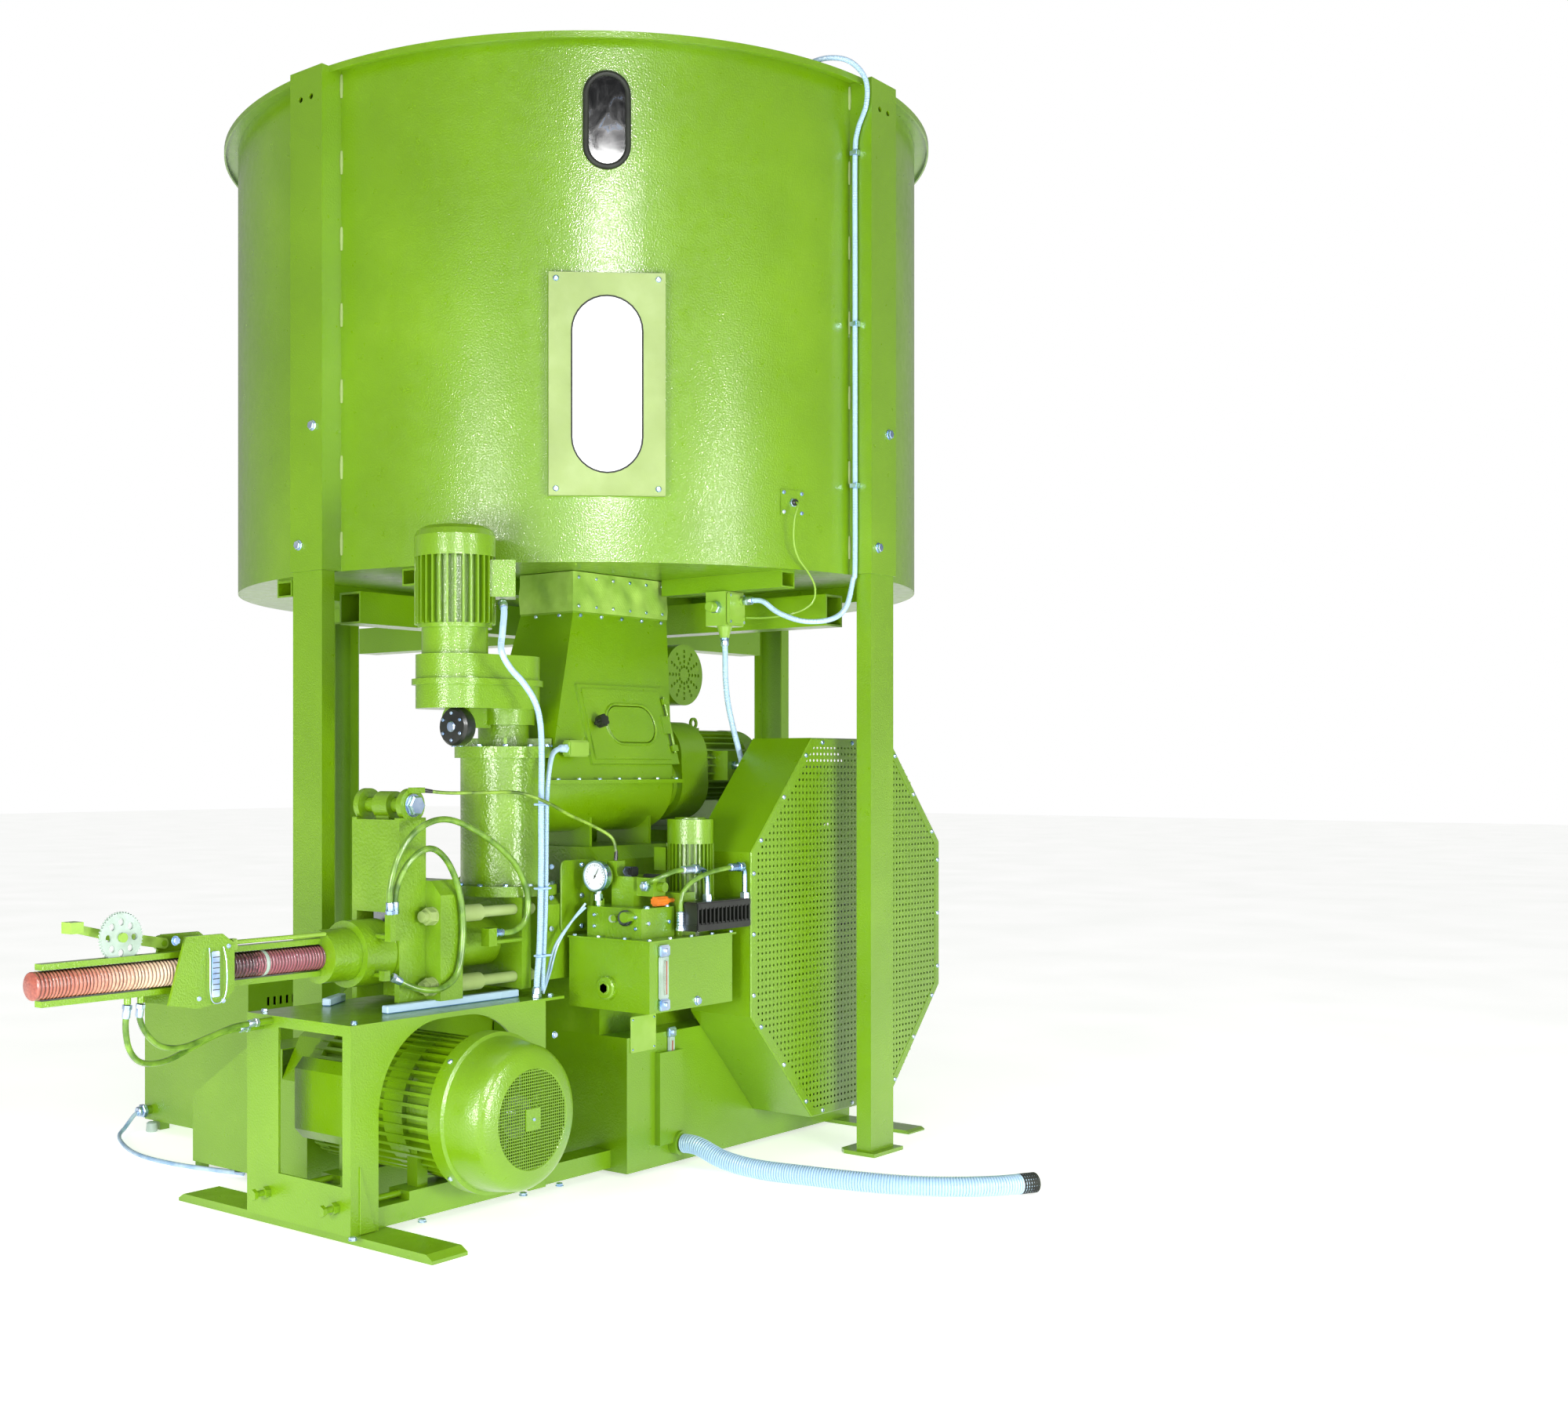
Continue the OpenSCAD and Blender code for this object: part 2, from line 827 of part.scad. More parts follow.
// Vertical feeder tube with its flanges and top bearing
module feeder_tube() {
    color(green)
        translate([feeder_x, line_y, 0])
            difference() {
                union() {
                    bar_z(feeder_r + 33, 0, 0, head_top, tube_z);
                    bar_z(feeder_r, 0, 0, tube_z, tube_top);
                    bar_z(feeder_r + 18, 0, 0, tube_top, tube_top + 34);
                    bar_z(78, 0, 0, tube_top + 34, gear_z);
                    for (a = [45:90:315])
                        rotate([0, 0, a])
                            box(70, feeder_r + 16, -5, 5, tube_top + 34, tube_top + 60);
                }
                bar_z(feeder_r - 8, 0, 0, head_top - 1, tube_top - 6);
                bar_z(shaft_r + run_gap, 0, 0, tube_top - 7, gear_z + 1);
                box(0, 300, -feeder_r + 22, feeder_r - 22, screw_z - 125, tube_top - 12);
                for (a = [22.5:45:337.5])
                    bar_z(7, (feeder_r + 20) * cos(a), (feeder_r + 20) * sin(a), head_top - 1, tube_z + 1);
            }
}

module feed_screw() {
    z1 = tube_top - 16;
    z0 = head_top + 14;
    color(steel) {
        bar_z(shaft_r, feeder_x, line_y, z0, gear_z + 130);
        translate([feeder_x, line_y, z0 + 4])
            flight(feeder_r - 16, z1 - z0 - 4, 130, 1);
    }
}

// Offset gearbox over the feeder tube
module feeder_gearbox() {
    z1 = gear_z + 47;
    z2 = gear_z + 208;
    color(green)
        difference() {
            union() {
                bar_z(96, feeder_x, line_y, gear_z, z1);
                translate([0, 0, z1])
                    linear_extrude(z2 - z1)
                        belt_outline(feeder_motor_x, feeder_motor_y, 118, feeder_x, line_y, 112);
                translate([0, 0, z1 + 70])
                    linear_extrude(18)
                        belt_outline(feeder_motor_x, feeder_motor_y, 130, feeder_x, line_y, 122);
                bar_z(100, feeder_motor_x, feeder_motor_y, z2, z2 + 91);
                bar_z(112, feeder_motor_x, feeder_motor_y, z2 + 79, z2 + 91);
                bar_x(52, feeder_motor_x - 30, feeder_motor_x - 4, line_y, gear_z + 10);
                box(feeder_motor_x - 20, feeder_x, line_y - 20, line_y + 20, gear_z - 10, gear_z + 50);
            }
            bar_z(shaft_r + run_gap, feeder_x, line_y, gear_z - 11, gear_z + 140);
            bar_z(80, feeder_x, line_y, gear_z - 12, gear_z);
        }
}

module feeder_motor() {
    z0 = gear_z + 299;
    z1 = z0 + 200;
    color(green)
        translate([feeder_motor_x, feeder_motor_y, 0]) {
            translate([0, 0, z0])
                linear_extrude(z1 - z0)
                    fins_outline(feeder_motor_r - 18, feeder_motor_r, 32);
            translate([0, 0, z1])
                rotate_extrude()
                    polygon([
                        [0, 0], [feeder_motor_r, 0], [feeder_motor_r, 62],
                        [feeder_motor_r - 9, 80], [feeder_motor_r - 30, 92], [0, 94]
                    ]);
            rotate([0, 0, -48])
                box(feeder_motor_r - 24, feeder_motor_r + 60, -48, 48, z1 - 120, z1 - 10);
        }
}

// Folded flat bars that carry the press
module sleepers() {
    color(green) {
        sleeper(-1928, -1798, 522, sleeper_h);
        sleeper(318, 425, 588, 12);
    }
}

module sleeper(x0, x1, half, h) {
    plate_yz(x0, x1)
        polygon([
            [line_y - half, 0], [line_y + half, 0], [line_y + half, h * 0.4],
            [line_y + half - h, h], [line_y - half + h, h], [line_y - half, h * 0.4]
        ]);
}

// Welded box that carries the crankcase
module press_bed() {
    y0 = line_y - bed_half;
    y1 = line_y + bed_half;
    color(green)
        difference() {
            union() {
                box(bed_x0, bed_x1, y0, y1, 12, bed_top);
                box(bed_x0 + 140, bed_x0 + 260, y0 - 20, y0, 80, bed_top - 60);
                bar_y(38, -600, y0 - 30, y0, 75);
            }
            box(bed_x0 + 10, bed_x1 - 10, y0 + 10, y1 - 10, -1, bed_top - 12);
            bar_y(spiral_hose_r - 4, -600, y0 - 31, y0 + 11, 75);
        }
}

// Cast crankcase: ram guide in front, crank chamber behind
module crankcase() {
    y0 = line_y - bed_half;
    y1 = line_y + bed_half;
    neck_top = tower_top - 36;
    color(green)
        difference() {
            union() {
                plate_yz(bed_x0, tower_x0 + 10)
                    polygon([
                        [line_y - neck_half, bed_top], [line_y + neck_half, bed_top],
                        [line_y + neck_half, neck_top - 40], [line_y + neck_half - 40, neck_top],
                        [line_y - neck_half + 40, neck_top], [line_y - neck_half, neck_top - 40]
                    ]);
                plate_xz(y0, y1)
                    polygon([
                        [tower_x0, bed_top], [bed_x1, bed_top], [bed_x1, tower_top - 90],
                        [bed_x1 - 90, tower_top], [tower_x0 + 50, tower_top], [tower_x0, tower_top - 50]
                    ]);
                box(tower_x0 - 30, tower_x0, line_y - neck_half - 15, line_y + neck_half + 15, bed_top,
                    neck_top - 60);
            }
            box(chamber_x0, chamber_x1, y0 + bearing_w, y1 - bearing_w,
                line_z - chamber_h, line_z + chamber_h);
            bar_x(crosshead_r + run_gap, gudgeon_x - crosshead_l / 2 - 30, chamber_x0 + 1, line_y, line_z);
            bar_x(strand_r + run_gap, bed_x0 - 1, gudgeon_x, line_y, line_z);
            bar_y(journal_r + bearing_t + run_gap, crank_x, y0 - 1, y1 + 1, line_z);
        }
}

module crank_bearings() {
    color([0.76, 0.60, 0.32])
        for (y = [line_y - bed_half, line_y + bed_half - bearing_w])
            difference() {
                bar_y(journal_r + bearing_t, crank_x, y, y + bearing_w, line_z);
                bar_y(journal_r + run_gap, crank_x, y - 1, y + bearing_w + 1, line_z);
            }
}

// Crankshaft at its forward dead centre
module crankshaft() {
    web_in = ring_w / 2 + 8;
    web_out = web_in + 45;
    web_r = pin_r + crank_throw + 30;
    color(steel) {
        bar_y(journal_r, crank_x, fly_y0 - 12, line_y - web_in, line_z);
        bar_y(journal_r, crank_x, line_y + web_in, belt_y1 + 8, line_z);
        bar_y(pin_r, crank_x - crank_throw, line_y - web_in, line_y + web_in, line_z);
        for (y = [line_y - web_out, line_y + web_in])
            plate_xz(y, y + web_out - web_in)
                belt_outline(crank_x - crank_throw, line_z, pin_r + 14, crank_x + 30, line_z, web_r - 30);
    }
}

// Flywheel with a heavy rim, a web and a hub
module wheel_body(y0, y1, x, z, rim) {
    mid = (y0 + y1) / 2;
    difference() {
        bar_y(flywheel_r, x, y0, y1, z);
        bar_y(flywheel_r - rim, x, y0 - 1, mid - 18, z);
        bar_y(flywheel_r - rim, x, mid + 18, y1 + 1, z);
        for (a = [30:60:330])
            bar_y(flywheel_r * 0.14, x + flywheel_r * 0.5 * cos(a), mid - 20, mid + 20,
                z + flywheel_r * 0.5 * sin(a));
    }
    bar_y(journal_r + 60, x, y0, y1, z);
}

module flywheel() {
    color(green)
        difference() {
            wheel_body(fly_y0, fly_y1, crank_x, line_z, 110);
            bar_y(journal_r + run_gap, crank_x, fly_y0 - 1, fly_y1 + 1, line_z);
        }
}

module belt_flywheel() {
    color([0.35, 0.37, 0.38])
        difference() {
            wheel_body(belt_y0, belt_y1, crank_x, line_z, 90);
            bar_y(journal_r + run_gap, crank_x, belt_y0 - 1, belt_y1 + 1, line_z);
        }
}

// Connecting rod; its big eye is opened wide round the crank pin
module connecting_rod() {
    big_x = crank_x - crank_throw;
    color(steel)
        difference() {
            union() {
                bar_y(ring_out, big_x, line_y - ring_w / 2, line_y + ring_w / 2, line_z);
                bar_y(gudgeon_r + 18, gudgeon_x, line_y - ring_w / 2, line_y + ring_w / 2, line_z);
                box(gudgeon_x, big_x, line_y - ring_w / 2, line_y + ring_w / 2, line_z - 24, line_z + 24);
            }
            bar_y(ring_in, big_x, line_y - ring_w, line_y + ring_w, line_z);
            bar_y(gudgeon_r + run_gap, gudgeon_x, line_y - ring_w, line_y + ring_w, line_z);
        }
}

// Ram with its crosshead and gudgeon pin
module ram() {
    color(steel) {
        difference() {
            union() {
                bar_x(crosshead_r, gudgeon_x - crosshead_l / 2, gudgeon_x + crosshead_l / 2, line_y, line_z);
                bar_x(strand_r, ram_tip, gudgeon_x - crosshead_l / 2, line_y, line_z);
            }
            box(gudgeon_x - 42, gudgeon_x + crosshead_l, line_y - ring_w / 2 - 1, line_y + ring_w / 2 + 1,
                line_z - crosshead_r, line_z + crosshead_r);
        }
        bar_y(gudgeon_r, gudgeon_x, line_y - crosshead_r + 14, line_y + crosshead_r - 14, line_z);
    }
}

// Runs its children once at each tie rod
module at_tie_rods() {
    for (y = [line_y - tie_y, line_y + tie_y])
        for (z = [line_z - tie_z, line_z + tie_z])
            translate([0, y, z])
                children();
}

// Pressing chamber that the feeder tube stands on
module press_head() {
    half = 150;
    color(green)
        difference() {
            union() {
                plate_yz(head_x0 + 95, bed_x0)
                    polygon([
                        [line_y - half, line_z - 120], [line_y + half, line_z - 120],
                        [line_y + half, head_top - 30], [line_y + half - 30, head_top],
                        [line_y - half + 30, head_top], [line_y - half, head_top - 30]
                    ]);
                box(die_x1, head_x0 + 30, line_y - tie_y - 34, line_y + tie_y + 34,
                    line_z - tie_z - 36, head_top);
                box(head_x0, head_x0 + 100, line_y - 94, line_y + 94, line_z - 120, head_top);
                box(bed_x0 - 30, bed_x0, line_y - neck_half, line_y + neck_half, line_z - 150, head_top);
            }
            bar_x(strand_r + run_gap, die_x1 - 1, bed_x0 + 1, line_y, line_z);
            box(head_x0 + 20, head_x0 + 160, line_y - strand_r - 1, line_y + strand_r + 1, line_z, head_top + 1);
            at_tie_rods()
                bar_x(tie_r + free_gap, die_x1 - 1, head_x0 + 31, 0, 0);
        }
    color(zinc) {
        box(-1346, -1312, -822, -790, line_z + 2, line_z + 54);
        bar_x(7, -1346, die_x1, -806, line_z + 12);
    }
}

module tie_rods() {
    nut_r = tie_r * 1.6;
    nut_t = tie_r * 1.5;
    color(pale_green)
        at_tie_rods() {
            bar_x(tie_r, clamp_x1 - 45, head_x0 + 70, 0, 0);
            hex_x(nut_r, clamp_x1 - nut_t - 4, clamp_x1 - 4, 0, 0);
            bar_x(nut_r + 0.8, clamp_x1 - 4, clamp_x1, 0, 0);
            bar_x(nut_r + 0.8, head_x0 + 30, head_x0 + 34, 0, 0);
            hex_x(nut_r, head_x0 + 34, head_x0 + 34 + nut_t, 0, 0);
            bar_x(tie_r + 9, clamp_x1 + 90, clamp_x1 + 190, 0, 0);
        }
}

// Die barrel with its front drum
module die() {
    color(green)
        difference() {
            union() {
                bar_x(die_r, die_x0, die_x1, line_y, line_z);
                bar_x(die_r + 20, clamp_x0 - 116, clamp_x0 - 2, line_y, line_z);
            }
            bar_x(strand_r + run_gap, die_x0 - 1, die_x1 + 1, line_y, line_z);
        }
    color(zinc) {
        die_fitting(-1700, 792, 780, 854, -780);
        die_fitting(-1675, 792, 780, 854, -770);
        die_fitting(-1706, 684, 670, 698, -763);
    }
}

// Hose fitting that stands out of the drum
module die_fitting(x, z, z0, z1, y) {
    box(x - 11, x + 11, y - 11, y + 11, z0, z1);
    difference() {
        bar_y(7, x, y + 11, line_y - 50, z);
        bar_x(die_r + 19, x - 10, x + 10, line_y, line_z);
    }
}

// Welded head that carries the clamp cylinder's pin
module clamp_head() {
    flange_half = tie_y + 32;
    color(green)
        difference() {
            union() {
                plate_yz(clamp_x1, clamp_x1 + 90)
                    polygon([
                        [line_y - flange_half, line_z - tie_z - 40], [line_y + flange_half, line_z - tie_z - 40],
                        [line_y + flange_half, line_z + tie_z + 60], [line_y + flange_half - 40, line_z + tie_z + 100],
                        [line_y - flange_half + 40, line_z + tie_z + 100],
                        [line_y - flange_half, line_z + tie_z + 60]
                    ]);
                for (y = [line_y - cheek_out, line_y + cheek_in])
                    plate_xz(y, y + cheek_out - cheek_in)
                        union() {
                            translate([clamp_x0, line_z - tie_z - 40])
                                square([clamp_x1 - clamp_x0, clamp_pin_z - line_z + tie_z + 5]);
                            translate([clamp_x, clamp_pin_z])
                                circle(r = 48);
                        }
                box(clamp_x0, clamp_x0 + 14, line_y - cheek_in, line_y + cheek_in, line_z + 112, clamp_pin_z - 40);
                bar_y(24, clamp_x1 + 45, line_y - 30, line_y + 30, line_z + tie_z + 96);
                box(clamp_x - 18, clamp_x + 25, line_y - 122, line_y - cheek_out, clamp_pin_z + 35,
                    clamp_pin_z + 51);
            }
            bar_x(die_r + free_gap, clamp_x0 - 1, clamp_x1 + 91, line_y, line_z);
            at_tie_rods()
                bar_x(tie_r + free_gap, clamp_x1 - 1, clamp_x1 + 91, 0, 0);
            bar_y(22, clamp_x, line_y - 200, line_y + 200, clamp_pin_z);
        }
}

// Hydraulic clamp cylinder and the pin that it hangs from
module clamp_cylinder() {
    z0 = line_z + 150;
    color(green)
        difference() {
            union() {
                bar_z(36, clamp_x + 8, line_y, z0, clamp_pin_z - 40);
                bar_y(40, clamp_x, line_y - 30, line_y + 30, clamp_pin_z);
                box(clamp_x - 26, clamp_x + 34, line_y - 26, line_y + 26, clamp_pin_z - 60, clamp_pin_z - 20);
            }
            bar_z(clamp_rod_r + run_gap, clamp_x + 8, line_y, z0 - 1, clamp_pin_z - 90);
            bar_y(22, clamp_x, line_y - 40, line_y + 40, clamp_pin_z);
        }
    color(zinc) {
        bar_y(21.5, clamp_x, line_y - cheek_out, line_y + cheek_out, clamp_pin_z);
        bar_y(34, clamp_x, line_y - cheek_out - 4, line_y - cheek_out, clamp_pin_z);
        hex_y(28, clamp_x, line_y - cheek_out - 22, line_y - cheek_out - 4, clamp_pin_z);
        hex_y(28, clamp_x, line_y + cheek_out, line_y + cheek_out + 18, clamp_pin_z);
    }
}

// Jaw that the clamp cylinder presses on the die
module clamp_jaw() {
    z0 = line_z + 150;
    color(steel)
        difference() {
            union() {
                bar_z(clamp_rod_r, clamp_x + 8, line_y, jaw_z + 10, z0 + 60);
                box(clamp_x - 22, clamp_x + 38, line_y - 40, line_y + 40, line_z + 60, jaw_z + 34);
            }
            bar_x(die_r + free_gap, clamp_x0, clamp_x1, line_y, line_z);
        }
}

// Perforated guard round the plain flywheel
module guard_octagon(grow) {
    polygon([
        [crank_x - guard_side - grow, line_z - guard_dz], [crank_x - guard_side - grow, line_z + guard_dz],
        [crank_x - guard_dx, line_z + guard_h + grow], [crank_x + guard_dx, line_z + guard_h + grow],
        [crank_x + guard_side + grow, line_z + guard_dz], [crank_x + guard_side + grow, line_z - guard_dz],
        [crank_x + guard_dx, line_z - guard_h - grow], [crank_x - guard_dx, line_z - guard_h - grow]
    ]);
}

module flywheel_guard() {
    y1 = line_y - bed_half;
    pitch = 62;
    color(green)
        difference() {
            plate_xz(guard_y0, y1)
                guard_octagon(0);
            plate_xz(guard_y0 + sheet_t, y1 + 1)
                guard_octagon(-sheet_t);
            plate_xz(guard_y0 - 1, guard_y0 + sheet_t + 1)
                for (i = [-9:9])
                    for (k = [-9:9])
                        if (abs(i) * pitch < guard_side - 60 && abs(k) * pitch < guard_h - 60
                            && (abs(i) + abs(k)) * pitch < (guard_side + guard_h) * 0.66)
                            translate([crank_x + i * pitch, line_z + k * pitch])
                                circle(r = 20, $fn = 16);
        }
}

// Outline of the belt guard, round both pulleys
module belt_guard_outline(shrink) {
    front = motor_x - pulley_r - 30 + shrink;
    low = line_z - guard_h + shrink;
    polygon([
        [front, 25 + shrink], [front, motor_z + 27], [front + 70, motor_z + 40 + pulley_r - shrink],
        [crank_x - guard_dx, line_z + guard_h - shrink], [crank_x + guard_dx, line_z + guard_h - shrink],
        [crank_x + guard_side - shrink, line_z + guard_dz], [crank_x + guard_side - shrink, line_z - guard_dz],
        [crank_x + guard_dx, low], [motor_x + 150, low], [motor_x + 150 - shrink, 25 + shrink]
    ]);
}

module belt_guard() {
    front = motor_x - pulley_r - 30;
    wing_x1 = motor_x + 148;
    wing_y1 = 181;
    color(green)
        difference() {
            union() {
                plate_xz(belt_guard_y0, belt_guard_y1)
                    belt_guard_outline(0);
                difference() {
                    plate_yz(front, wing_x1)
                        polygon([
                            [belt_guard_y1 - 1, 25], [wing_y1, 25], [wing_y1, 235], [belt_guard_y1 + 145, 420],
                            [belt_guard_y1 - 1, 420]
                        ]);
                    plate_yz(front + sheet_t, wing_x1 - sheet_t)
                        polygon([
                            [belt_guard_y1 - 1, 24], [wing_y1 - sheet_t, 24], [wing_y1 - sheet_t, 233],
                            [belt_guard_y1 + 143, 417], [belt_guard_y1 - 1, 417]
                        ]);
                }
                for (x = [front + 10, motor_x + 90])
                    box(x, x + 30, belt_guard_y1 - 40, belt_guard_y1, 0, 26);
                box(front + 10, front + 40, wing_y1 - 30, wing_y1, 0, 26);
            }
            plate_xz(belt_guard_y0 + sheet_t, belt_guard_y1 - sheet_t)
                belt_guard_outline(sheet_t);
            bar_y(journal_r + 10, crank_x, belt_guard_y0 - 1, belt_guard_y0 + sheet_t + 1, line_z);
            bar_y(motor_shaft_r + 10, motor_x, belt_guard_y0 - 1, belt_guard_y0 + sheet_t + 1, motor_z);
        }
}

// Main motor
module main_motor() {
    box_y0 = line_y - 50;
    box_y1 = line_y + 130;
    color(green)
        difference() {
            union() {
                finned_y(stator_r - 22, stator_r, motor_x, stator_y0, stator_y1, motor_z, 40);
                bar_y(stator_r - 4, motor_x, stator_y0, stator_y0 + 15, motor_z);
                bar_y(stator_r - 4, motor_x, stator_y0 + 150, stator_y0 + 225, motor_z);
                bar_y(stator_r - 4, motor_x, stator_y1 - 40, stator_y1, motor_z);
                bar_y(stator_r * 0.6, motor_x, stator_y1, stator_y1 + 22, motor_z);
                for (y = foot_y) {
                    box(motor_x - stator_r - 10, motor_x + stator_r + 10, y, y + 80, feet_z, feet_z + 24);
                    for (x = [motor_x - stator_r * 0.8, motor_x + stator_r * 0.8 - 40])
                        box(x, x + 40, y + 20, y + 60, feet_z + 20, motor_z - stator_r * 0.5);
                }
                box(motor_x - stator_r - 80, motor_x - stator_r * 0.8, box_y0, box_y1, motor_z - 60, motor_z + 110);
            }
            bar_y(stator_r - 60, motor_x, stator_y0 - 1, stator_y1 - 30, motor_z);
            bar_y(motor_shaft_r + run_gap, motor_x, stator_y1 - 40, stator_y1 + 23, motor_z);
        }
    color(green)
        intersection() {
            plate_yz(motor_x - stator_r - 110, motor_x - stator_r - 80)
                translate([(box_y0 + box_y1) / 2, motor_z + 25])
                    square([210, 230], center = true);
            plate_xz(box_y0 - 20, box_y1 + 20)
                polygon([
                    [motor_x - stator_r - 80, motor_z - 90], [motor_x - stator_r - 80, motor_z + 140],
                    [motor_x - stator_r - 110, motor_z + 110], [motor_x - stator_r - 110, motor_z - 60]
                ]);
        }
}

// Fan cowl with its round grille
module motor_cowl() {
    color(green)
        difference() {
            translate([motor_x, motor_cowl_y, motor_z])
                rotate([-90, 0, 0])
                    rotate_extrude($fn = 72)
                        polygon([
                            [0, 0], [motor_r - 86, 0], [motor_r - 60, 6], [motor_r - 34, 20], [motor_r - 24, 36],
                            [motor_r - 10, 130], [motor_r, 134], [motor_r, cowl_l], [motor_r - 4, cowl_l],
                            [motor_r - 4, 137], [motor_r - 14, 133], [motor_r - 28, 37], [motor_r - 37, 23],
                            [motor_r - 62, 10], [motor_r - 87, 4], [0, 4]
                        ]);
            plate_xz(motor_cowl_y - 1, motor_cowl_y + 5)
                translate([motor_x, motor_z])
                    for (r = [50:25:motor_r - 96])
                        for (i = [0:floor(r / 4) - 1])
                            rotate(i * 360 / floor(r / 4))
                                translate([r, 0])
                                    circle(r = 8, $fn = 16);
        }
}

// Rotor, shaft and fan of the main motor
module motor_rotor() {
    fan_y = motor_cowl_y + 60;
    color(steel) {
        bar_y(motor_shaft_r, motor_x, fan_y - 20, belt_y1 + 5, motor_z);
        bar_y(stator_r - 62, motor_x, stator_y0 + 60, stator_y1 - 90, motor_z);
        bar_y(60, motor_x, fan_y, fan_y + 90, motor_z);
        for (i = [0:6])
            translate([motor_x, fan_y, motor_z])
                rotate([0, 20 + i * 360 / 7, 0])
                    box(50, motor_r - 45, 0, 90, -3, 3);
    }
}

module motor_pulley() {
    color([0.35, 0.37, 0.38])
        difference() {
            bar_y(pulley_r, motor_x, belt_y0, belt_y1, motor_z);
            bar_y(motor_shaft_r + run_gap, motor_x, belt_y0 - 1, belt_y1 + 1, motor_z);
            bar_y(pulley_r - 22, motor_x, belt_y1 - 20, belt_y1 + 1, motor_z);
        }
}

// Set of belts round the pulley and the flywheel
module drive_belts() {
    color(dark)
        for (i = [0:3]) {
            y = belt_y0 + 3 + i * (belt_w - 3) / 4;
            plate_xz(y, y + (belt_w - 3) / 4 - 3)
                difference() {
                    belt_outline(motor_x, motor_z, pulley_r + belt_t + free_gap,
                        crank_x, line_z, flywheel_r + belt_t + free_gap);
                    belt_outline(motor_x, motor_z, pulley_r + free_gap,
                        crank_x, line_z, flywheel_r + free_gap);
                }
        }
}

// Base channels and jack bolts of the motor
module motor_base() {
    color(green)
        for (y = foot_y)
            difference() {
                box(table_x0 + 16, bed_x0, y, y + 80, sleeper_h, feet_z);
                box(table_x0 + 15, bed_x0 - 20, y + 6, y + 74, sleeper_h - 1, feet_z - 6);
            }
    color(zinc)
        for (y = foot_y) {
            bar_x(9, table_x0 - 45, motor_x - stator_r - 10, y + 40, feet_z + 14);
            hex_x(16, table_x0 - 57, table_x0 - 45, y + 40, feet_z + 14);
            hex_x(17, table_x0 - 18, table_x0, y + 40, feet_z + 14);
        }
}

// Folded sheet table over the motor
module motor_table() {
    low = sleeper_h;
    leg_y = table_y1 - 134;
    band = table_top - 14;
    color(green)
        difference() {
            union() {
                box(table_x0, table_x1, table_y0, table_y1, table_top - plate_t, table_top);
                box(table_x0, table_x0 + plate_t, table_y0, table_y1, low, table_top);
                box(table_x0, motor_x + 336, table_y0, table_y0 + plate_t, low, table_top);
                box(table_x0, table_x1, table_y1 - plate_t, table_y1, table_top - 60, table_top);
                box(table_x0, table_x0 + 60, table_y1 - plate_t, table_y1, feet_z + 1, table_top);
            }
            box(table_x0 - 1, table_x0 + plate_t + 1, table_y0 + 32, leg_y, feet_z + 72, table_top - 30);
            plate_xz(table_y0 - 1, table_y0 + plate_t + 1) {
                translate([motor_x - 100, band - 240])
                    circle(r = 240);
                translate([motor_x, band - 262])
                    circle(r = 262);
                translate([motor_x - 340, low - 9])
                    square([602, band - 262 - low + 9]);
                translate([motor_x - 100, band - 262])
                    square([100, 262]);
            }
            for (y = foot_y)
                bar_x(10, table_x0 - 1, table_x0 + plate_t + 1, y + 40, feet_z + 14);
        }
    color(zinc) {
        bar_x(10, -1989, table_x0, -520, 548);
        bar_x(10, -1989, table_x0, -560, 566);
    }
}

// Wheel of the length counter
module measuring_wheel() {
    color([0.94, 0.96, 0.98])
        plate_xz(line_y - 4, line_y + 4)
            translate([wheel_x, wheel_z])
                difference() {
                    union() {
                        circle(r = wheel_r - 3);
                        for (i = [0:47])
                            rotate(i * 7.5)
                                translate([0, -1.5])
                                    square([wheel_r, 3]);
                    }
                    circle(r = 6 + run_gap);
                    for (i = [0:7])
                        rotate(i * 45)
                            translate([wheel_r * 0.6, 0])
                                circle(r = wheel_r * 0.14);
                }
}

// Arm that lets the counter's wheel ride on the strand
module wheel_arm() {
    y0 = line_y + 32;
    color(pale_green) {
        difference() {
            plate_xz(y0, y0 + 8)
                union() {
                    belt_outline(wheel_x, wheel_z, 14, pivot_x, pivot_z, 14);
                    belt_outline(wheel_x - 132, wheel_z + 32, 11, wheel_x, wheel_z, 12);
                }
            bar_y(8 + run_gap, pivot_x, y0 - 1, y0 + 9, pivot_z);
        }
        box(wheel_x - 150, wheel_x - 113, y0 - 40, y0, wheel_z + 18, wheel_z + 46);
        bar_y(6, wheel_x, line_y - 10, y0, wheel_z);
        bar_y(12, wheel_x, line_y - 14, line_y - 5, wheel_z);
        bar_y(12, wheel_x, line_y + 5, y0, wheel_z);
    }
}

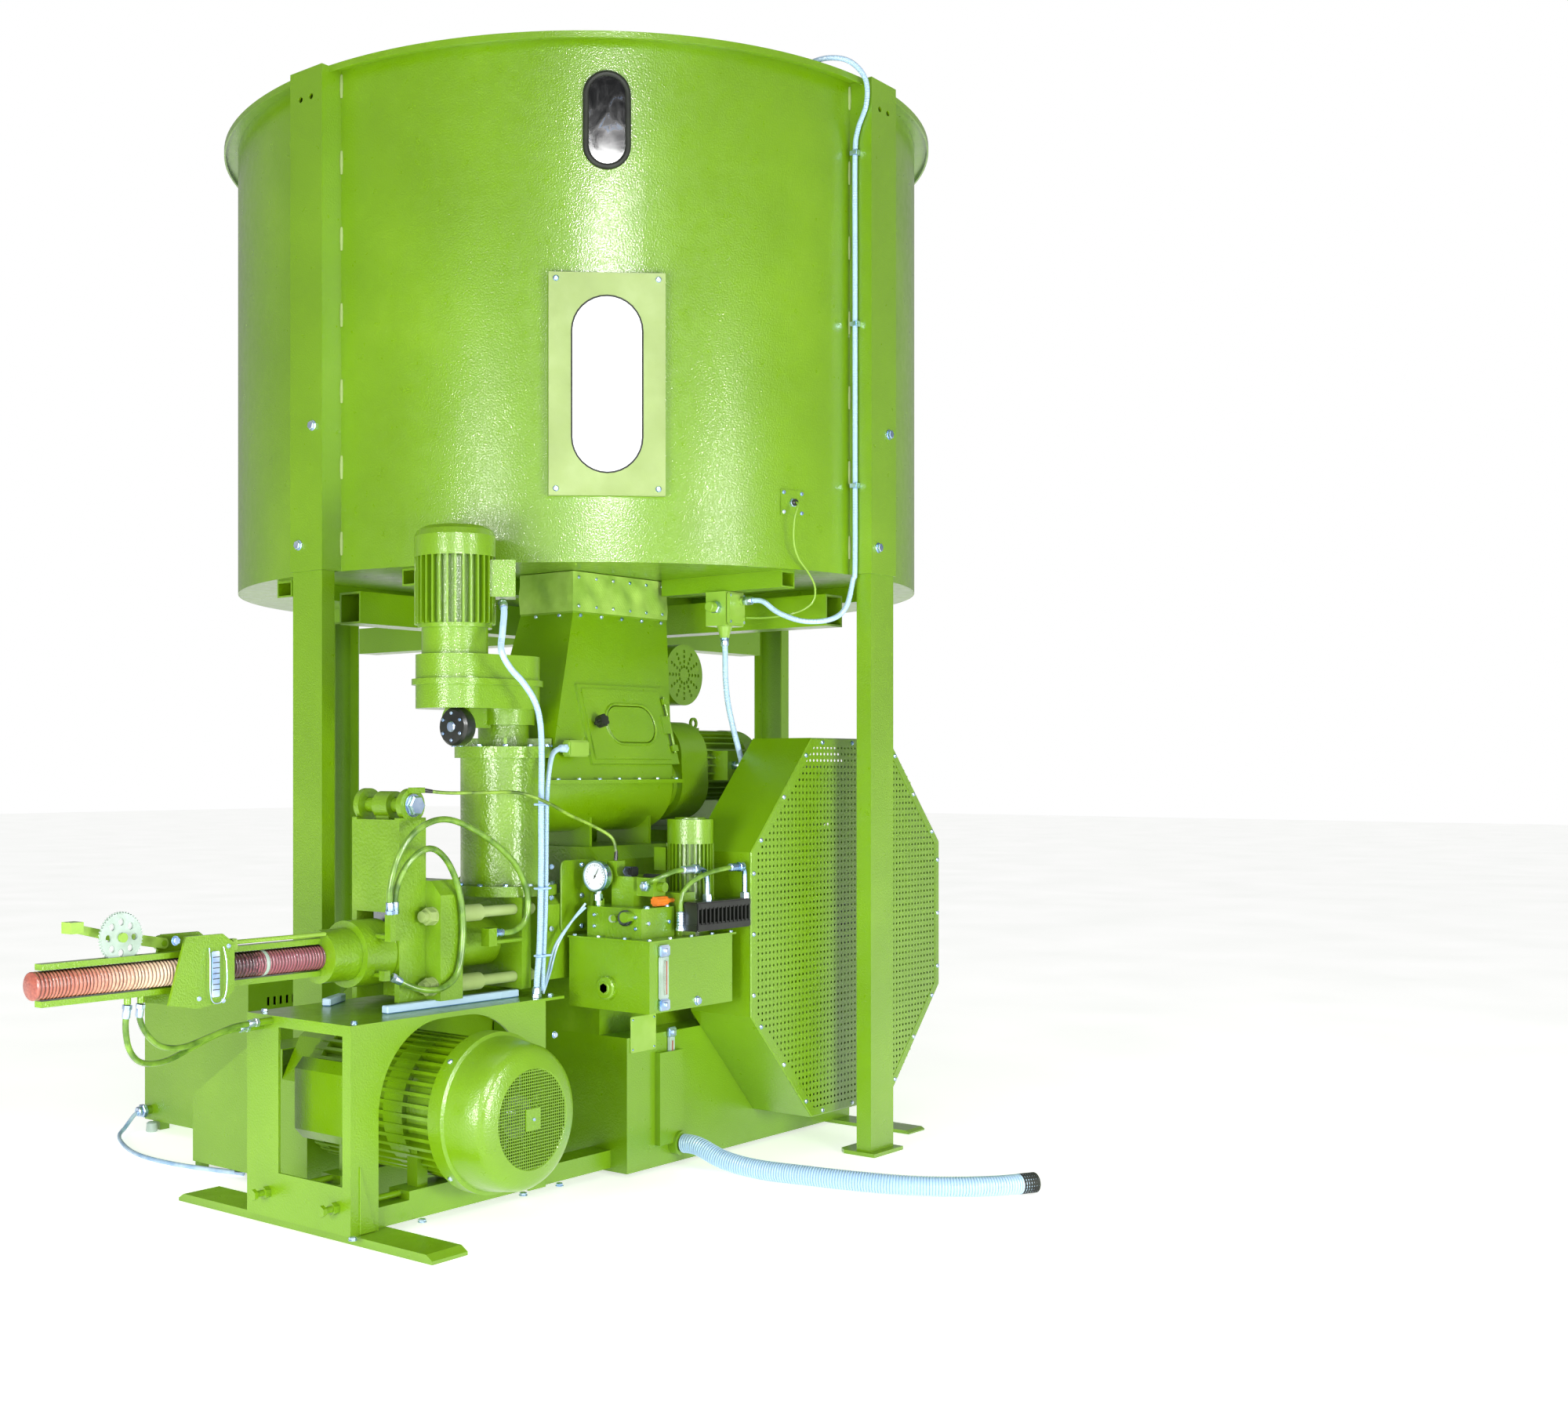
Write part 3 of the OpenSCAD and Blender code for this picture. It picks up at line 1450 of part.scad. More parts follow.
// Rails of the strand and their bracket
module outfeed_rails() {
    top = line_z + strand_r + rail_gap;
    low = line_z - strand_r - rail_gap - rail_t;
    x1 = pivot_x + 159;
    color(green)
        difference() {
            union() {
                for (z = [low, top])
                    box(strand_x0 + 22, die_x0, line_y - 14, line_y + 14, z, z + rail_t);
                for (y = [line_y - 54, line_y + 46])
                    plate_xz(y, y + 8)
                        polygon([
                            [pivot_x + 3, line_z + 93], [x1 - 38, line_z + 93], [x1, line_z + 66],
                            [x1, line_z - 54], [x1 - 33, line_z - 84], [x1 - 121, line_z - 93],
                            [pivot_x - 50, line_z - 77]
                        ]);
                bar_y(20, pivot_x, line_y + 46, line_y + 54, pivot_z);
                box(x1 - 60, x1 - 38, line_y - 54, line_y + 54, top + rail_t, top + rail_t + 20);
                box(x1 - 121, x1 - 33, line_y - 54, line_y + 54, low - 14, low);
            }
            box(wheel_x - wheel_r, wheel_x + wheel_r, line_y - 6, line_y + 6, top - 1, top + rail_t + 1);
        }
    color(zinc) {
        for (x = [-2480, -2440])
            bar_z(9, x, line_y, 671, low);
        bar_y(8, pivot_x, line_y + 30, line_y + 66, pivot_z);
        hex_y(16, pivot_x, line_y + 54, line_y + 66, pivot_z);
    }
}

module briquette_strand() {
    color([0.72, 0.56, 0.52])
        bar_x(strand_r, strand_x0, ram_tip - 5, line_y, line_z);
}

// Oil tank beside the ram guide
module oil_tank() {
    color(green) {
        difference() {
            box(tank_x0, tank_x1, tank_y0, tank_y1, tank_z, lid_z);
            box(tank_x0 + 4, tank_x1 - 4, tank_y0 + 4, tank_y1 - 4, tank_z + 4, lid_z + 1);
        }
        box(tank_x0 - 9, tank_x1 + 9, tank_y0 - 9, tank_y1, lid_z, lid_z + lid_t);
        bar_x(34, tank_x0 - 12, tank_x0, line_y - 330, tank_z + 67);
        for (x = [tank_x0 + 160, tank_x1 - 100])
            box(x, x + 50, tank_y1, line_y - neck_half, tank_z + 20, lid_z - 20);
    }
    color(zinc)
        hex_x(15, tank_x0 - 24, tank_x0 - 12, line_y - 330, tank_z + 67);
}

// Upright pump motor on the tank
module pump_motor() {
    x = -640;
    y = line_y - 370;
    z = lid_z + lid_t;
    color(green) {
        bar_z(58, x, y, z, z + 90);
        bar_z(78, x, y, z + 90, z + 104);
        translate([x, y, z + 104])
            linear_extrude(170)
                fins_outline(62, 74, 30);
        bar_z(72, x, y, z + 274, z + 350);
        bar_z(48, x, y, z + 350, z + 355);
        box(x - 60, x + 40, y + 50, y + 96, z + 190, z + 262);
    }
}

// Valve manifold, directional valve, pump and gauge
module valve_block() {
    z = lid_z + lid_t;
    y = line_y - 430;
    color(green) {
        box(-961, -800, y, line_y - 220, z, z + 90);
        box(-900, -780, y + 78, y + 164, z + 90, z + 180);
        bar_x(38, -950, -915, line_y - 245, z + 180);
    }
    color(dark) {
        box(-885, -825, y + 15, y + 78, z + 122, z + 178);
        bar_y(15, -855, y - 8, y + 15, z + 150);
    }
    color(green)
        difference() {
            union() {
                box(-790, -720, y - 20, y + 50, z, z + 130);
                box(-720, -520, y - 50, y - 21, z + 20, z + 100);
            }
            bar_x(7 + run_gap, -791, -740, y + 14, knob_z);
        }
    color(zinc) {
        bar_z(8, -932, line_y - 245, z + 90, z + 146);
        hex_z(14, -932, line_y - 245, z + 90, z + 112);
        bar_x(10, -990, -961, y + 84, z + 60);
        bar_x(16, -995, -961, y + 40, z + 65);
        box(-905, -865, y + 140, y + 180, z + 180, z + 226);
    }
}

// Adjusting knob of the pressure valve
module valve_knob() {
    y = line_y - 416;
    color([0.95, 0.55, 0.15]) {
        difference() {
            bar_x(15, -880, -826, y, knob_z);
            for (a = [0:45:315])
                bar_x(4, -881, -836, y + 17 * cos(a), knob_z + 17 * sin(a));
        }
        bar_x(7, -830, -745, y, knob_z);
    }
}

module control_cabinet() {
    z1 = cabinet_z + cabinet_h;
    color(green)
        difference() {
            union() {
                box(cabinet_x0, cabinet_x1, cabinet_y0, cabinet_y1, cabinet_z, z1);
                for (x = [cabinet_x0 + 20, cabinet_x1 - 60])
                    for (y = [cabinet_y0 + 20, cabinet_y1 - 60])
                        box(x, x + 40, y, y + 40, 0, cabinet_z);
                bar_x(16, cabinet_x0 - 25, cabinet_x0, 790, 70);
            }
            box(cabinet_x0 + 20, cabinet_x1 - 3, cabinet_y0 + 3, cabinet_y1 - 3, cabinet_z + 3, z1 - 3);
            for (x = [cabinet_x0 + 80:27:cabinet_x0 + 190])
                box(x, x + 12, cabinet_y0 - 1, cabinet_y0 + 4, z1 - 114, z1 - 86);
        }
}

// Rigid conduits of the silo, the feeder and the screw motor
module conduits() {
    x = 0 - sleeve_half - 11.5;
    y = -silo_r - 25;
    color([0.72, 0.85, 0.92]) {
        tube([
            [-260, -1180, silo_top - 60], [-255, -1195, silo_top + 10], [-225, -1250, silo_top + 34],
            [-165, -1300, silo_top + 30], [-108, -1325, silo_top - 15], [x, -1318, silo_top - 90],
            [x, -1285, silo_top - 170], [x, y, silo_top - 260], [x, y, silo_z + 1000], [x, y, silo_z + 500],
            [x, y, silo_z + 40], [-92, -1270, silo_z - 18], [-122, -1262, silo_z - 110],
            [-193, -1250, silo_z - 153],
            [-260, -1190, silo_z - 160], [-285, -1110, silo_z - 130], [-285, -1050, silo_z - 90],
            [-285, -1010, silo_z - 84], [-285, -976, silo_z - 84]
        ], shell_conduit_r, [1, 0.1, 0.1]);
        tube([
            [-1192, -729, gear_z + 370], [-1215, -760, gear_z + 338], [-1275, -810, gear_z + 273],
            [-1318, -845, gear_z + 210], [-1290, -855, gear_z + 160], [-1237, -855, gear_z + 122],
            [-1185, -855, gear_z + 68], [-1160, -855, gear_z + 5], [-1150, -852, gear_z - 90],
            [-1150, -850, gear_z - 250], [-1150, -850, gear_z - 420], [-1156, -850, gear_z - 640],
            [-1168, -850, table_top + 60], [-1170, -850, table_top + 18]
        ], conduit_r, [0.1, 1, 0.1]);
        tube([
            [-305, -910, silo_z - 205], [-305, -912, silo_z - 250], [-300, -910, 1560], [-280, -905, 1480],
            [-245, -900, 1400], [-200, -890, 1330], [-160, -875, 1285], [-135, -855, 1272],
            [-129, -840, 1270], [-129, -821, 1270]
        ], conduit_r, [1, 0.1, 0.1]);
    }
    color(zinc) {
        for (z = [silo_z + 278, silo_z + 805, silo_z + 1362])
            box(x - 11, x + 11.5, y - 12, y - 9, z, z + 20);
        bar_z(13, -1170, -850, table_top, table_top + 17);
    }
}

module clamp_hose() {
    color(dark)
        tube(clamp_hose_route, clamp_hose_r, [0, 1, 0.05]);
}

module head_hose() {
    color(dark)
        tube(head_hose_route, clamp_hose_r, [0, 1, 0.05]);
}

module line_hose_1() {
    color(dark)
        tube(line_hose_1_route, line_hose_r, [0, 1, 0.05]);
}

module line_hose_2() {
    color(dark)
        tube(line_hose_2_route, line_hose_r, [0, 1, 0.05]);
}

module spiral_hose() {
    color([0.70, 0.84, 0.90])
        tube(spiral_hose_route, spiral_hose_r, [1, 0, 0.05], 2, 10);
}

module floor_cable() {
    color(dark)
        tube(floor_cable_route, floor_cable_r, [0.1, 0.05, 1]);
}

module clamp_cable() {
    color(dark)
        tube(clamp_cable_route, clamp_cable_r, [0.05, 1, 0]);
}

silo_shell();
silo_floor();
silo_legs();
window_plate();
window_glass();
junction_box();
agitator();
agitator_motor();
outlet_chute();
chute_cuff();
inspection_door();
door_knob();
screw_trough();
trough_screw();
trough_gearmotor();
feeder_tube();
feed_screw();
feeder_gearbox();
feeder_motor();
sleepers();
press_bed();
crankcase();
crank_bearings();
crankshaft();
flywheel();
belt_flywheel();
connecting_rod();
ram();
press_head();
tie_rods();
die();
clamp_head();
clamp_cylinder();
clamp_jaw();
flywheel_guard();
belt_guard();
main_motor();
motor_cowl();
motor_rotor();
motor_pulley();
drive_belts();
motor_base();
motor_table();
outfeed_rails();
wheel_arm();
measuring_wheel();
briquette_strand();
oil_tank();
pump_motor();
valve_block();
valve_knob();
control_cabinet();
conduits();
clamp_hose();
head_hose();
line_hose_1();
line_hose_2();
spiral_hose();
floor_cable();
clamp_cable();
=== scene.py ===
"""Visual model of a briquetting press under its feed silo.

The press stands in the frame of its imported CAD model: metres, +Z up, the
origin on the floor under the silo's axis. The strand leaves towards -X and the
flywheel guard faces -Y. Sizes of the added pieces are in metres; the constants
that repeat a CAD size say so.
"""

import logging
import math
import random
from dataclasses import dataclass
from enum import Enum
from typing import Any, Callable, Optional, Sequence

import bmesh
import bpy
from mathutils import Matrix, Vector

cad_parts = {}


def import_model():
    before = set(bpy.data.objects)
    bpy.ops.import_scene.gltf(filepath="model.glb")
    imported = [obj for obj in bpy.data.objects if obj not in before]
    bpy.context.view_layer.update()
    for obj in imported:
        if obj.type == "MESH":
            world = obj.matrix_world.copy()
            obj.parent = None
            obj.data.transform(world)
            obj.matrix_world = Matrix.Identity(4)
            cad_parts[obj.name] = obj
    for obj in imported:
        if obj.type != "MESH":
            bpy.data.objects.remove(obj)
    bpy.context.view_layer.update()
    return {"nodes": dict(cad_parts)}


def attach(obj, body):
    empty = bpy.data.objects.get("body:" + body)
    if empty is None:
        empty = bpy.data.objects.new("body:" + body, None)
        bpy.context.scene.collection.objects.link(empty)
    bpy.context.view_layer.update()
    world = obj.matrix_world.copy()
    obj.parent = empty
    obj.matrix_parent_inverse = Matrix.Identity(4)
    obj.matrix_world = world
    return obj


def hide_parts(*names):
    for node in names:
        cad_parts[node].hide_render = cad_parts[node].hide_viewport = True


log = logging.getLogger("briquetting_press")

Point = tuple[float, float, float]
Flat = tuple[float, float]

# Body that the fixed pieces ride on, and places that repeat the CAD source.
BODY = "frame"
LINE_Y = -0.65
LINE_Z = 0.74
SILO_R = 1.25
LEG_R = 1.324
CRANK_X = 0.073
MOTOR_X, MOTOR_Z = -1.5, 0.303
FEEDER_X = -1.099


class Way(Enum):
    """Direction in which a round piece points."""

    PX = (1, 0, 0)
    NX = (-1, 0, 0)
    PY = (0, 1, 0)
    NY = (0, -1, 0)
    PZ = (0, 0, 1)

    @property
    def vector(self) -> Vector:
        """The direction as a vector."""
        return Vector(self.value)


def linear(code: str, alpha: float = 1.0) -> tuple[float, float, float, float]:
    """Turn an sRGB hex value into a linear colour.

    Args:
        code: Six hex digits, with or without a leading hash.
        alpha: Fourth component of the colour.

    Returns:
        Linear red, green and blue, and the alpha.
    """
    code = code.lstrip("#")
    parts = [int(code[i : i + 2], 16) / 255 for i in (0, 2, 4)]
    flat = [c / 12.92 if c <= 0.04045 else ((c + 0.055) / 1.055) ** 2.4 for c in parts]
    return (flat[0], flat[1], flat[2], alpha)


def add(tree: bpy.types.NodeTree, kind: str, props: Optional[dict[str, Any]] = None, **sockets: Any) -> Any:
    """Add one node with its settings and links.

    Args:
        tree: Node tree that takes the node.
        kind: Node type without the "ShaderNode" prefix.
        props: Attributes of the node itself; "stops" holds a colour ramp's
            places and sRGB hex colours.
        **sockets: Input names in lower case with underscores; a value that is
            an output socket is linked, any other value is set.

    Returns:
        The new node.
    """
    node = tree.nodes.new("ShaderNode" + kind)
    for name, value in (props or {}).items():
        if name != "stops":
            setattr(node, name, value)
            continue
        band = node.color_ramp
        while len(band.elements) < len(value):
            band.elements.new(0.5)
        for element, (place, code) in zip(band.elements, value):
            element.position, element.color = place, linear(code)
    for name, value in sockets.items():
        wanted = name.rstrip("0123456789").rstrip("_")
        found = [s for s in node.inputs if s.name.lower().replace(" ", "_") == wanted and s.enabled]
        index = int(name[len(wanted) + 1 :]) if name != wanted else 0
        target = found[index]
        if isinstance(value, bpy.types.NodeSocket):
            tree.links.new(value, target)
        else:
            target.default_value = value
    return node


def blank(name: str) -> tuple[bpy.types.Material, bpy.types.NodeTree]:
    """Make an empty material with a node tree.

    Args:
        name: Name of the material.

    Returns:
        The material and its node tree.
    """
    mat = bpy.data.materials.new(name)
    mat.use_nodes = True
    mat.node_tree.nodes.clear()
    return mat, mat.node_tree


def per_metre(size_mm: float) -> float:
    """Texture scale of a pattern whose grain is size_mm across."""
    return 1000.0 / size_mm


@dataclass(frozen=True)
class Enamel:
    """Two-pack hammered enamel sprayed on welded sheet steel.

    The paint dries with a fine dimple, so its highlights break into specks,
    and painted shade from ambient occlusion darkens its colour in corners.
    """

    name: str = "lime_green_hammered_enamel"
    coat: str = "#74A200"
    deep: str = "#6E9A00"
    worn: str = "#7CAA0A"
    dimple_mm: float = 5.0
    dimple_depth_mm: float = 0.9
    roughness: float = 0.32
    cloud_mm: float = 420.0
    shine: float = 0.6

    def build(self) -> bpy.types.Material:
        """Make the material.

        Returns:
            The new material.
        """
        mat, tree = blank(self.name)
        place = add(tree, "TexCoord").outputs["Object"]
        cloud = add(tree, "TexNoise", vector=place, scale=per_metre(self.cloud_mm), detail=4.0).outputs["Fac"]
        grime = add(tree, "TexNoise", vector=place, scale=per_metre(38.0), detail=6.0).outputs["Fac"]
        tone = add(
            tree, "ValToRGB", {"stops": [(0.32, self.deep), (0.55, self.coat), (0.72, self.worn)]},
            fac=cloud,
        ).outputs["Color"]
        # Painted shade: ambient occlusion darkens the colour in corners and recesses.
        corner = add(tree, "AmbientOcclusion", {"samples": 6}, distance=0.05).outputs["AO"]
        painted_corner_shade = add(
            tree, "MapRange", value=corner, from_min=0.0, from_max=0.7, to_min=0.66, to_max=1.0
        ).outputs["Result"]
        shade = add(tree, "VectorMath", {"operation": "SCALE"}, vector=tone, scale=painted_corner_shade).outputs["Vector"]
        dimple = add(tree, "TexNoise", vector=place, scale=per_metre(self.dimple_mm), detail=1.0)
        fine = add(tree, "TexNoise", vector=place, scale=per_metre(self.dimple_mm * 0.4), detail=2.0)
        soft = add(
            tree, "Bump", strength=0.35, distance=self.dimple_depth_mm / 1000 * 0.3,
            height=fine.outputs["Fac"],
        ).outputs["Normal"]
        bump = add(
            tree, "Bump", strength=1.0, distance=self.dimple_depth_mm / 1000, height=dimple.outputs["Fac"],
            normal=soft,
        ).outputs["Normal"]
        rough = add(
            tree, "MapRange", value=grime, from_min=0.3, from_max=0.7, to_min=self.roughness - 0.05,
            to_max=self.roughness + 0.09,
        ).outputs["Result"]
        shader = add(
            tree, "BsdfPrincipled", base_color=shade, roughness=rough,
            ior=1.5, coat_weight=self.shine, coat_roughness=0.08, normal=bump, coat_normal=bump,
        )
        add(tree, "OutputMaterial", surface=shader.outputs["BSDF"])
        return mat


@dataclass(frozen=True)
class BareMetal:
    """Unpainted metal: turned or zinc-plated steel, grey iron or bronze."""

    name: str
    light: str
    dark: str
    roughness: float
    grain_mm: float = 0.8
    stretch: Point = (1.0, 1.0, 1.0)
    bump_mm: float = 0.02
    oil: float = 0.0

    def build(self) -> bpy.types.Material:
        """Make the material.

        Returns:
            The new material.
        """
        mat, tree = blank(self.name)
        place = add(tree, "TexCoord").outputs["Object"]
        turned = add(tree, "Mapping", vector=place, scale=self.stretch).outputs["Vector"]
        grain = add(
            tree, "TexNoise", vector=turned, scale=per_metre(self.grain_mm), detail=3.0
        ).outputs["Fac"]
        cloud = add(tree, "TexNoise", vector=place, scale=per_metre(60.0), detail=5.0).outputs["Fac"]
        tone = add(
            tree, "ValToRGB", {"stops": [(0.3, self.dark), (0.65, self.light)]}, fac=cloud
        ).outputs["Color"]
        bump = add(tree, "Bump", strength=0.4, distance=self.bump_mm / 1000, height=grain).outputs["Normal"]
        rough = add(
            tree, "MapRange", value=cloud, from_min=0.3, from_max=0.7, to_min=self.roughness - 0.08,
            to_max=self.roughness + 0.1,
        ).outputs["Result"]
        shader = add(
            tree, "BsdfPrincipled", base_color=tone, metallic=1.0, roughness=rough,
            coat_weight=self.oil, coat_roughness=0.1, normal=bump,
        )
        add(tree, "OutputMaterial", surface=shader.outputs["BSDF"])
        return mat


@dataclass(frozen=True)
class Moulded:
    """Moulded plastic or rubber with the fine grain of its mould."""

    name: str
    light: str
    dark: str
    roughness: float
    grain_mm: float = 1.2
    bump_mm: float = 0.04
    gloss: float = 0.0
    ior: float = 1.49

    def build(self) -> bpy.types.Material:
        """Make the material.

        Returns:
            The new material.
        """
        mat, tree = blank(self.name)
        place = add(tree, "TexCoord").outputs["Object"]
        grain = add(tree, "TexNoise", vector=place, scale=per_metre(self.grain_mm), detail=4.0).outputs["Fac"]
        dust = add(tree, "TexNoise", vector=place, scale=per_metre(45.0), detail=5.0).outputs["Fac"]
        tone = add(
            tree, "ValToRGB", {"stops": [(0.35, self.dark), (0.62, self.light)]}, fac=dust
        ).outputs["Color"]
        bump = add(tree, "Bump", strength=0.4, distance=self.bump_mm / 1000, height=grain).outputs["Normal"]
        rough = add(
            tree, "MapRange", value=grain, from_min=0.3, from_max=0.7, to_min=self.roughness - 0.05,
            to_max=self.roughness + 0.08,
        ).outputs["Result"]
        shader = add(
            tree, "BsdfPrincipled", base_color=tone, roughness=rough,
            ior=self.ior, coat_weight=self.gloss, coat_roughness=0.08, normal=bump,
        )
        add(tree, "OutputMaterial", surface=shader.outputs["BSDF"])
        return mat


@dataclass(frozen=True)
class Pane:
    """Acrylic or glass pane: opal white, smoked black or clear; the opal pane has a painted glow, the smoked
    one a painted blue reflection.
    """

    name: str
    colour: str
    roughness: float
    transmission: float
    painted_glow: float = 0.0
    smear_and_reflection_colour: str = "#FFFFFF"

    def build(self) -> bpy.types.Material:
        """Make the material.

        Returns:
            The new material.
        """
        mat, tree = blank(self.name)
        place = add(tree, "TexCoord").outputs["Object"]
        # Smears on every pane; on the smoked sight glass the streak colour is a painted blue reflection.
        smear_and_reflection_mask = add(
            tree, "TexNoise", vector=place, scale=per_metre(70.0), detail=6.0, distortion=1.6
        ).outputs["Fac"]
        tone = add(
            tree, "ValToRGB", {"stops": [(0.60, self.colour), (0.82, self.smear_and_reflection_colour)]}, fac=smear_and_reflection_mask
        ).outputs["Color"]
        rough = add(
            tree, "MapRange", value=smear_and_reflection_mask, from_min=0.3, from_max=0.7, to_min=self.roughness,
            to_max=self.roughness + 0.08,
        ).outputs["Result"]
        # Painted light: emission makes the opal pane glow though it is no lamp.
        shader = add(
            tree, "BsdfPrincipled", base_color=tone, roughness=rough,
            ior=1.49, transmission_weight=self.transmission, emission_color=tone,
            emission_strength=self.painted_glow,
        )
        add(tree, "OutputMaterial", surface=shader.outputs["BSDF"])
        return mat


@dataclass(frozen=True)
class Ribbed:
    """Corrugated conduit of light blue plastic; its ribs are in the mesh, and painted shade darkens their
    valleys.
    """

    name: str = "light_blue_corrugated_plastic"
    # The light colour is for the lit rib crests; the dark one is painted shade in the valleys.
    light: str = "#BBD9F0"
    dark: str = "#6F9FD6"
    roughness: float = 0.3

    def build(self) -> bpy.types.Material:
        """Make the material.

        Returns:
            The new material.
        """
        mat, tree = blank(self.name)
        place = add(tree, "TexCoord").outputs["Object"]
        cloud = add(tree, "TexNoise", vector=place, scale=per_metre(120.0), detail=4.0).outputs["Fac"]
        # Painted shade: ambient occlusion picks the dark colour in the rib valleys.
        rib_valley_shade = add(tree, "AmbientOcclusion", {"samples": 6}, distance=0.006).outputs["AO"]
        tone = add(
            tree, "ValToRGB", {"stops": [(0.35, self.dark), (0.85, self.light)]}, fac=rib_valley_shade
        ).outputs["Color"]
        rough = add(
            tree, "MapRange", value=cloud, from_min=0.3, from_max=0.7, to_min=self.roughness - 0.06,
            to_max=self.roughness + 0.1,
        ).outputs["Result"]
        shader = add(
            tree, "BsdfPrincipled", base_color=tone, roughness=rough,
            ior=1.5, coat_weight=0.2, coat_roughness=0.15,
        )
        add(tree, "OutputMaterial", surface=shader.outputs["BSDF"])
        return mat


@dataclass(frozen=True)
class Woven:
    """Coated sleeve cloth with a plain weave.

    The real thread is under a millimetre; it is drawn coarser so that it shows.
    """

    name: str = "coated_sleeve_cloth"
    light: str = "#A9CF57"
    dark: str = "#7FA92C"
    thread_mm: float = 2.5

    def build(self) -> bpy.types.Material:
        """Make the material.

        Returns:
            The new material.
        """
        mat, tree = blank(self.name)
        place = add(tree, "TexCoord").outputs["Object"]
        flat = {"wave_type": "BANDS"}
        scale = per_metre(self.thread_mm) / 6.0
        warp = add(
            tree, "TexWave", {**flat, "bands_direction": "DIAGONAL"}, vector=place, scale=scale,
            distortion=0.4,
        )
        weft = add(
            tree, "TexWave", {**flat, "bands_direction": "Z"}, vector=place, scale=scale, distortion=0.4
        )
        cross = add(
            tree, "Math", {"operation": "MULTIPLY"}, value=warp.outputs["Fac"], value_1=weft.outputs["Fac"]
        ).outputs["Value"]
        fold = add(tree, "TexNoise", vector=place, scale=per_metre(90.0), detail=5.0).outputs["Fac"]
        tone = add(
            tree, "ValToRGB", {"stops": [(0.3, self.dark), (0.7, self.light)]}, fac=fold
        ).outputs["Color"]
        bump = add(tree, "Bump", strength=0.5, distance=0.0006, height=cross).outputs["Normal"]
        shader = add(
            tree, "BsdfPrincipled", base_color=tone, roughness=0.62, sheen_weight=0.2, sheen_roughness=0.5,
            normal=bump,
        )
        add(tree, "OutputMaterial", surface=shader.outputs["BSDF"])
        return mat


@dataclass(frozen=True)
class PressedWaste:
    """Pressed shavings and paper, polished by the die.

    The colour changes in bands along the strand, as the waste did, and flakes
    show in it; painted shade darkens the grooves between the ram's strokes.
    """

    name: str = "pressed_waste"
    flake_mm: float = 6.0
    band_mm: float = 40.0
    start_x: float = -2.82
    end_x: float = -1.95

    def build(self) -> bpy.types.Material:
        """Make the material.

        Returns:
            The new material.
        """
        mat, tree = blank(self.name)
        place = add(tree, "TexCoord").outputs["Object"]
        split = add(tree, "SeparateXYZ", vector=place).outputs["X"]
        run = add(
            tree, "MapRange", value=split, from_min=self.start_x, from_max=self.end_x, to_min=0.0,
            to_max=1.0,
        ).outputs["Result"]
        along = add(tree, "Mapping", vector=place, scale=(1.0, 0.05, 0.05)).outputs["Vector"]
        zone = add(tree, "TexNoise", vector=along, scale=per_metre(self.band_mm), detail=5.0).outputs["Fac"]
        flake = add(tree, "TexVoronoi", vector=place, scale=per_metre(self.flake_mm))
        pick = add(tree, "SeparateColor", color=flake.outputs["Color"]).outputs["Red"]
        drift = add(
            tree, "Math", {"operation": "MULTIPLY_ADD"}, value=zone, value_1=0.22, value_2=run
        ).outputs["Value"]
        both = add(
            tree, "Math", {"operation": "MULTIPLY_ADD"}, value=pick, value_1=0.07, value_2=drift
        ).outputs["Value"]
        stops = [
            (0.10, "#6E2E2C"), (0.26, "#B0604C"), (0.42, "#C9806A"), (0.58, "#EAC2A2"), (0.72, "#F0D0B4"),
            (0.80, "#8A3E48"), (0.86, "#431A28"), (0.96, "#54222F"), (1.0, "#97505C"),
        ]
        tone = add(tree, "ValToRGB", {"stops": stops}, fac=both).outputs["Color"]
        # Painted shade: ambient occlusion darkens the grooves between the ram's strokes.
        groove = add(tree, "AmbientOcclusion", {"samples": 6}, distance=0.012).outputs["AO"]
        depth = add(
            tree, "MapRange", value=groove, from_min=0.45, from_max=0.92, to_min=0.08, to_max=1.0
        ).outputs["Result"]
        shade = add(tree, "VectorMath", {"operation": "SCALE"}, vector=tone, scale=depth).outputs["Vector"]
        bump = add(
            tree, "Bump", strength=0.4, distance=0.0008, height=flake.outputs["Distance"]
        ).outputs["Normal"]
        shader = add(
            tree, "BsdfPrincipled", base_color=shade, roughness=0.34, coat_weight=0.7, coat_roughness=0.15,
            normal=bump,
        )
        add(tree, "OutputMaterial", surface=shader.outputs["BSDF"])
        return mat


Materials = dict[str, bpy.types.Material]

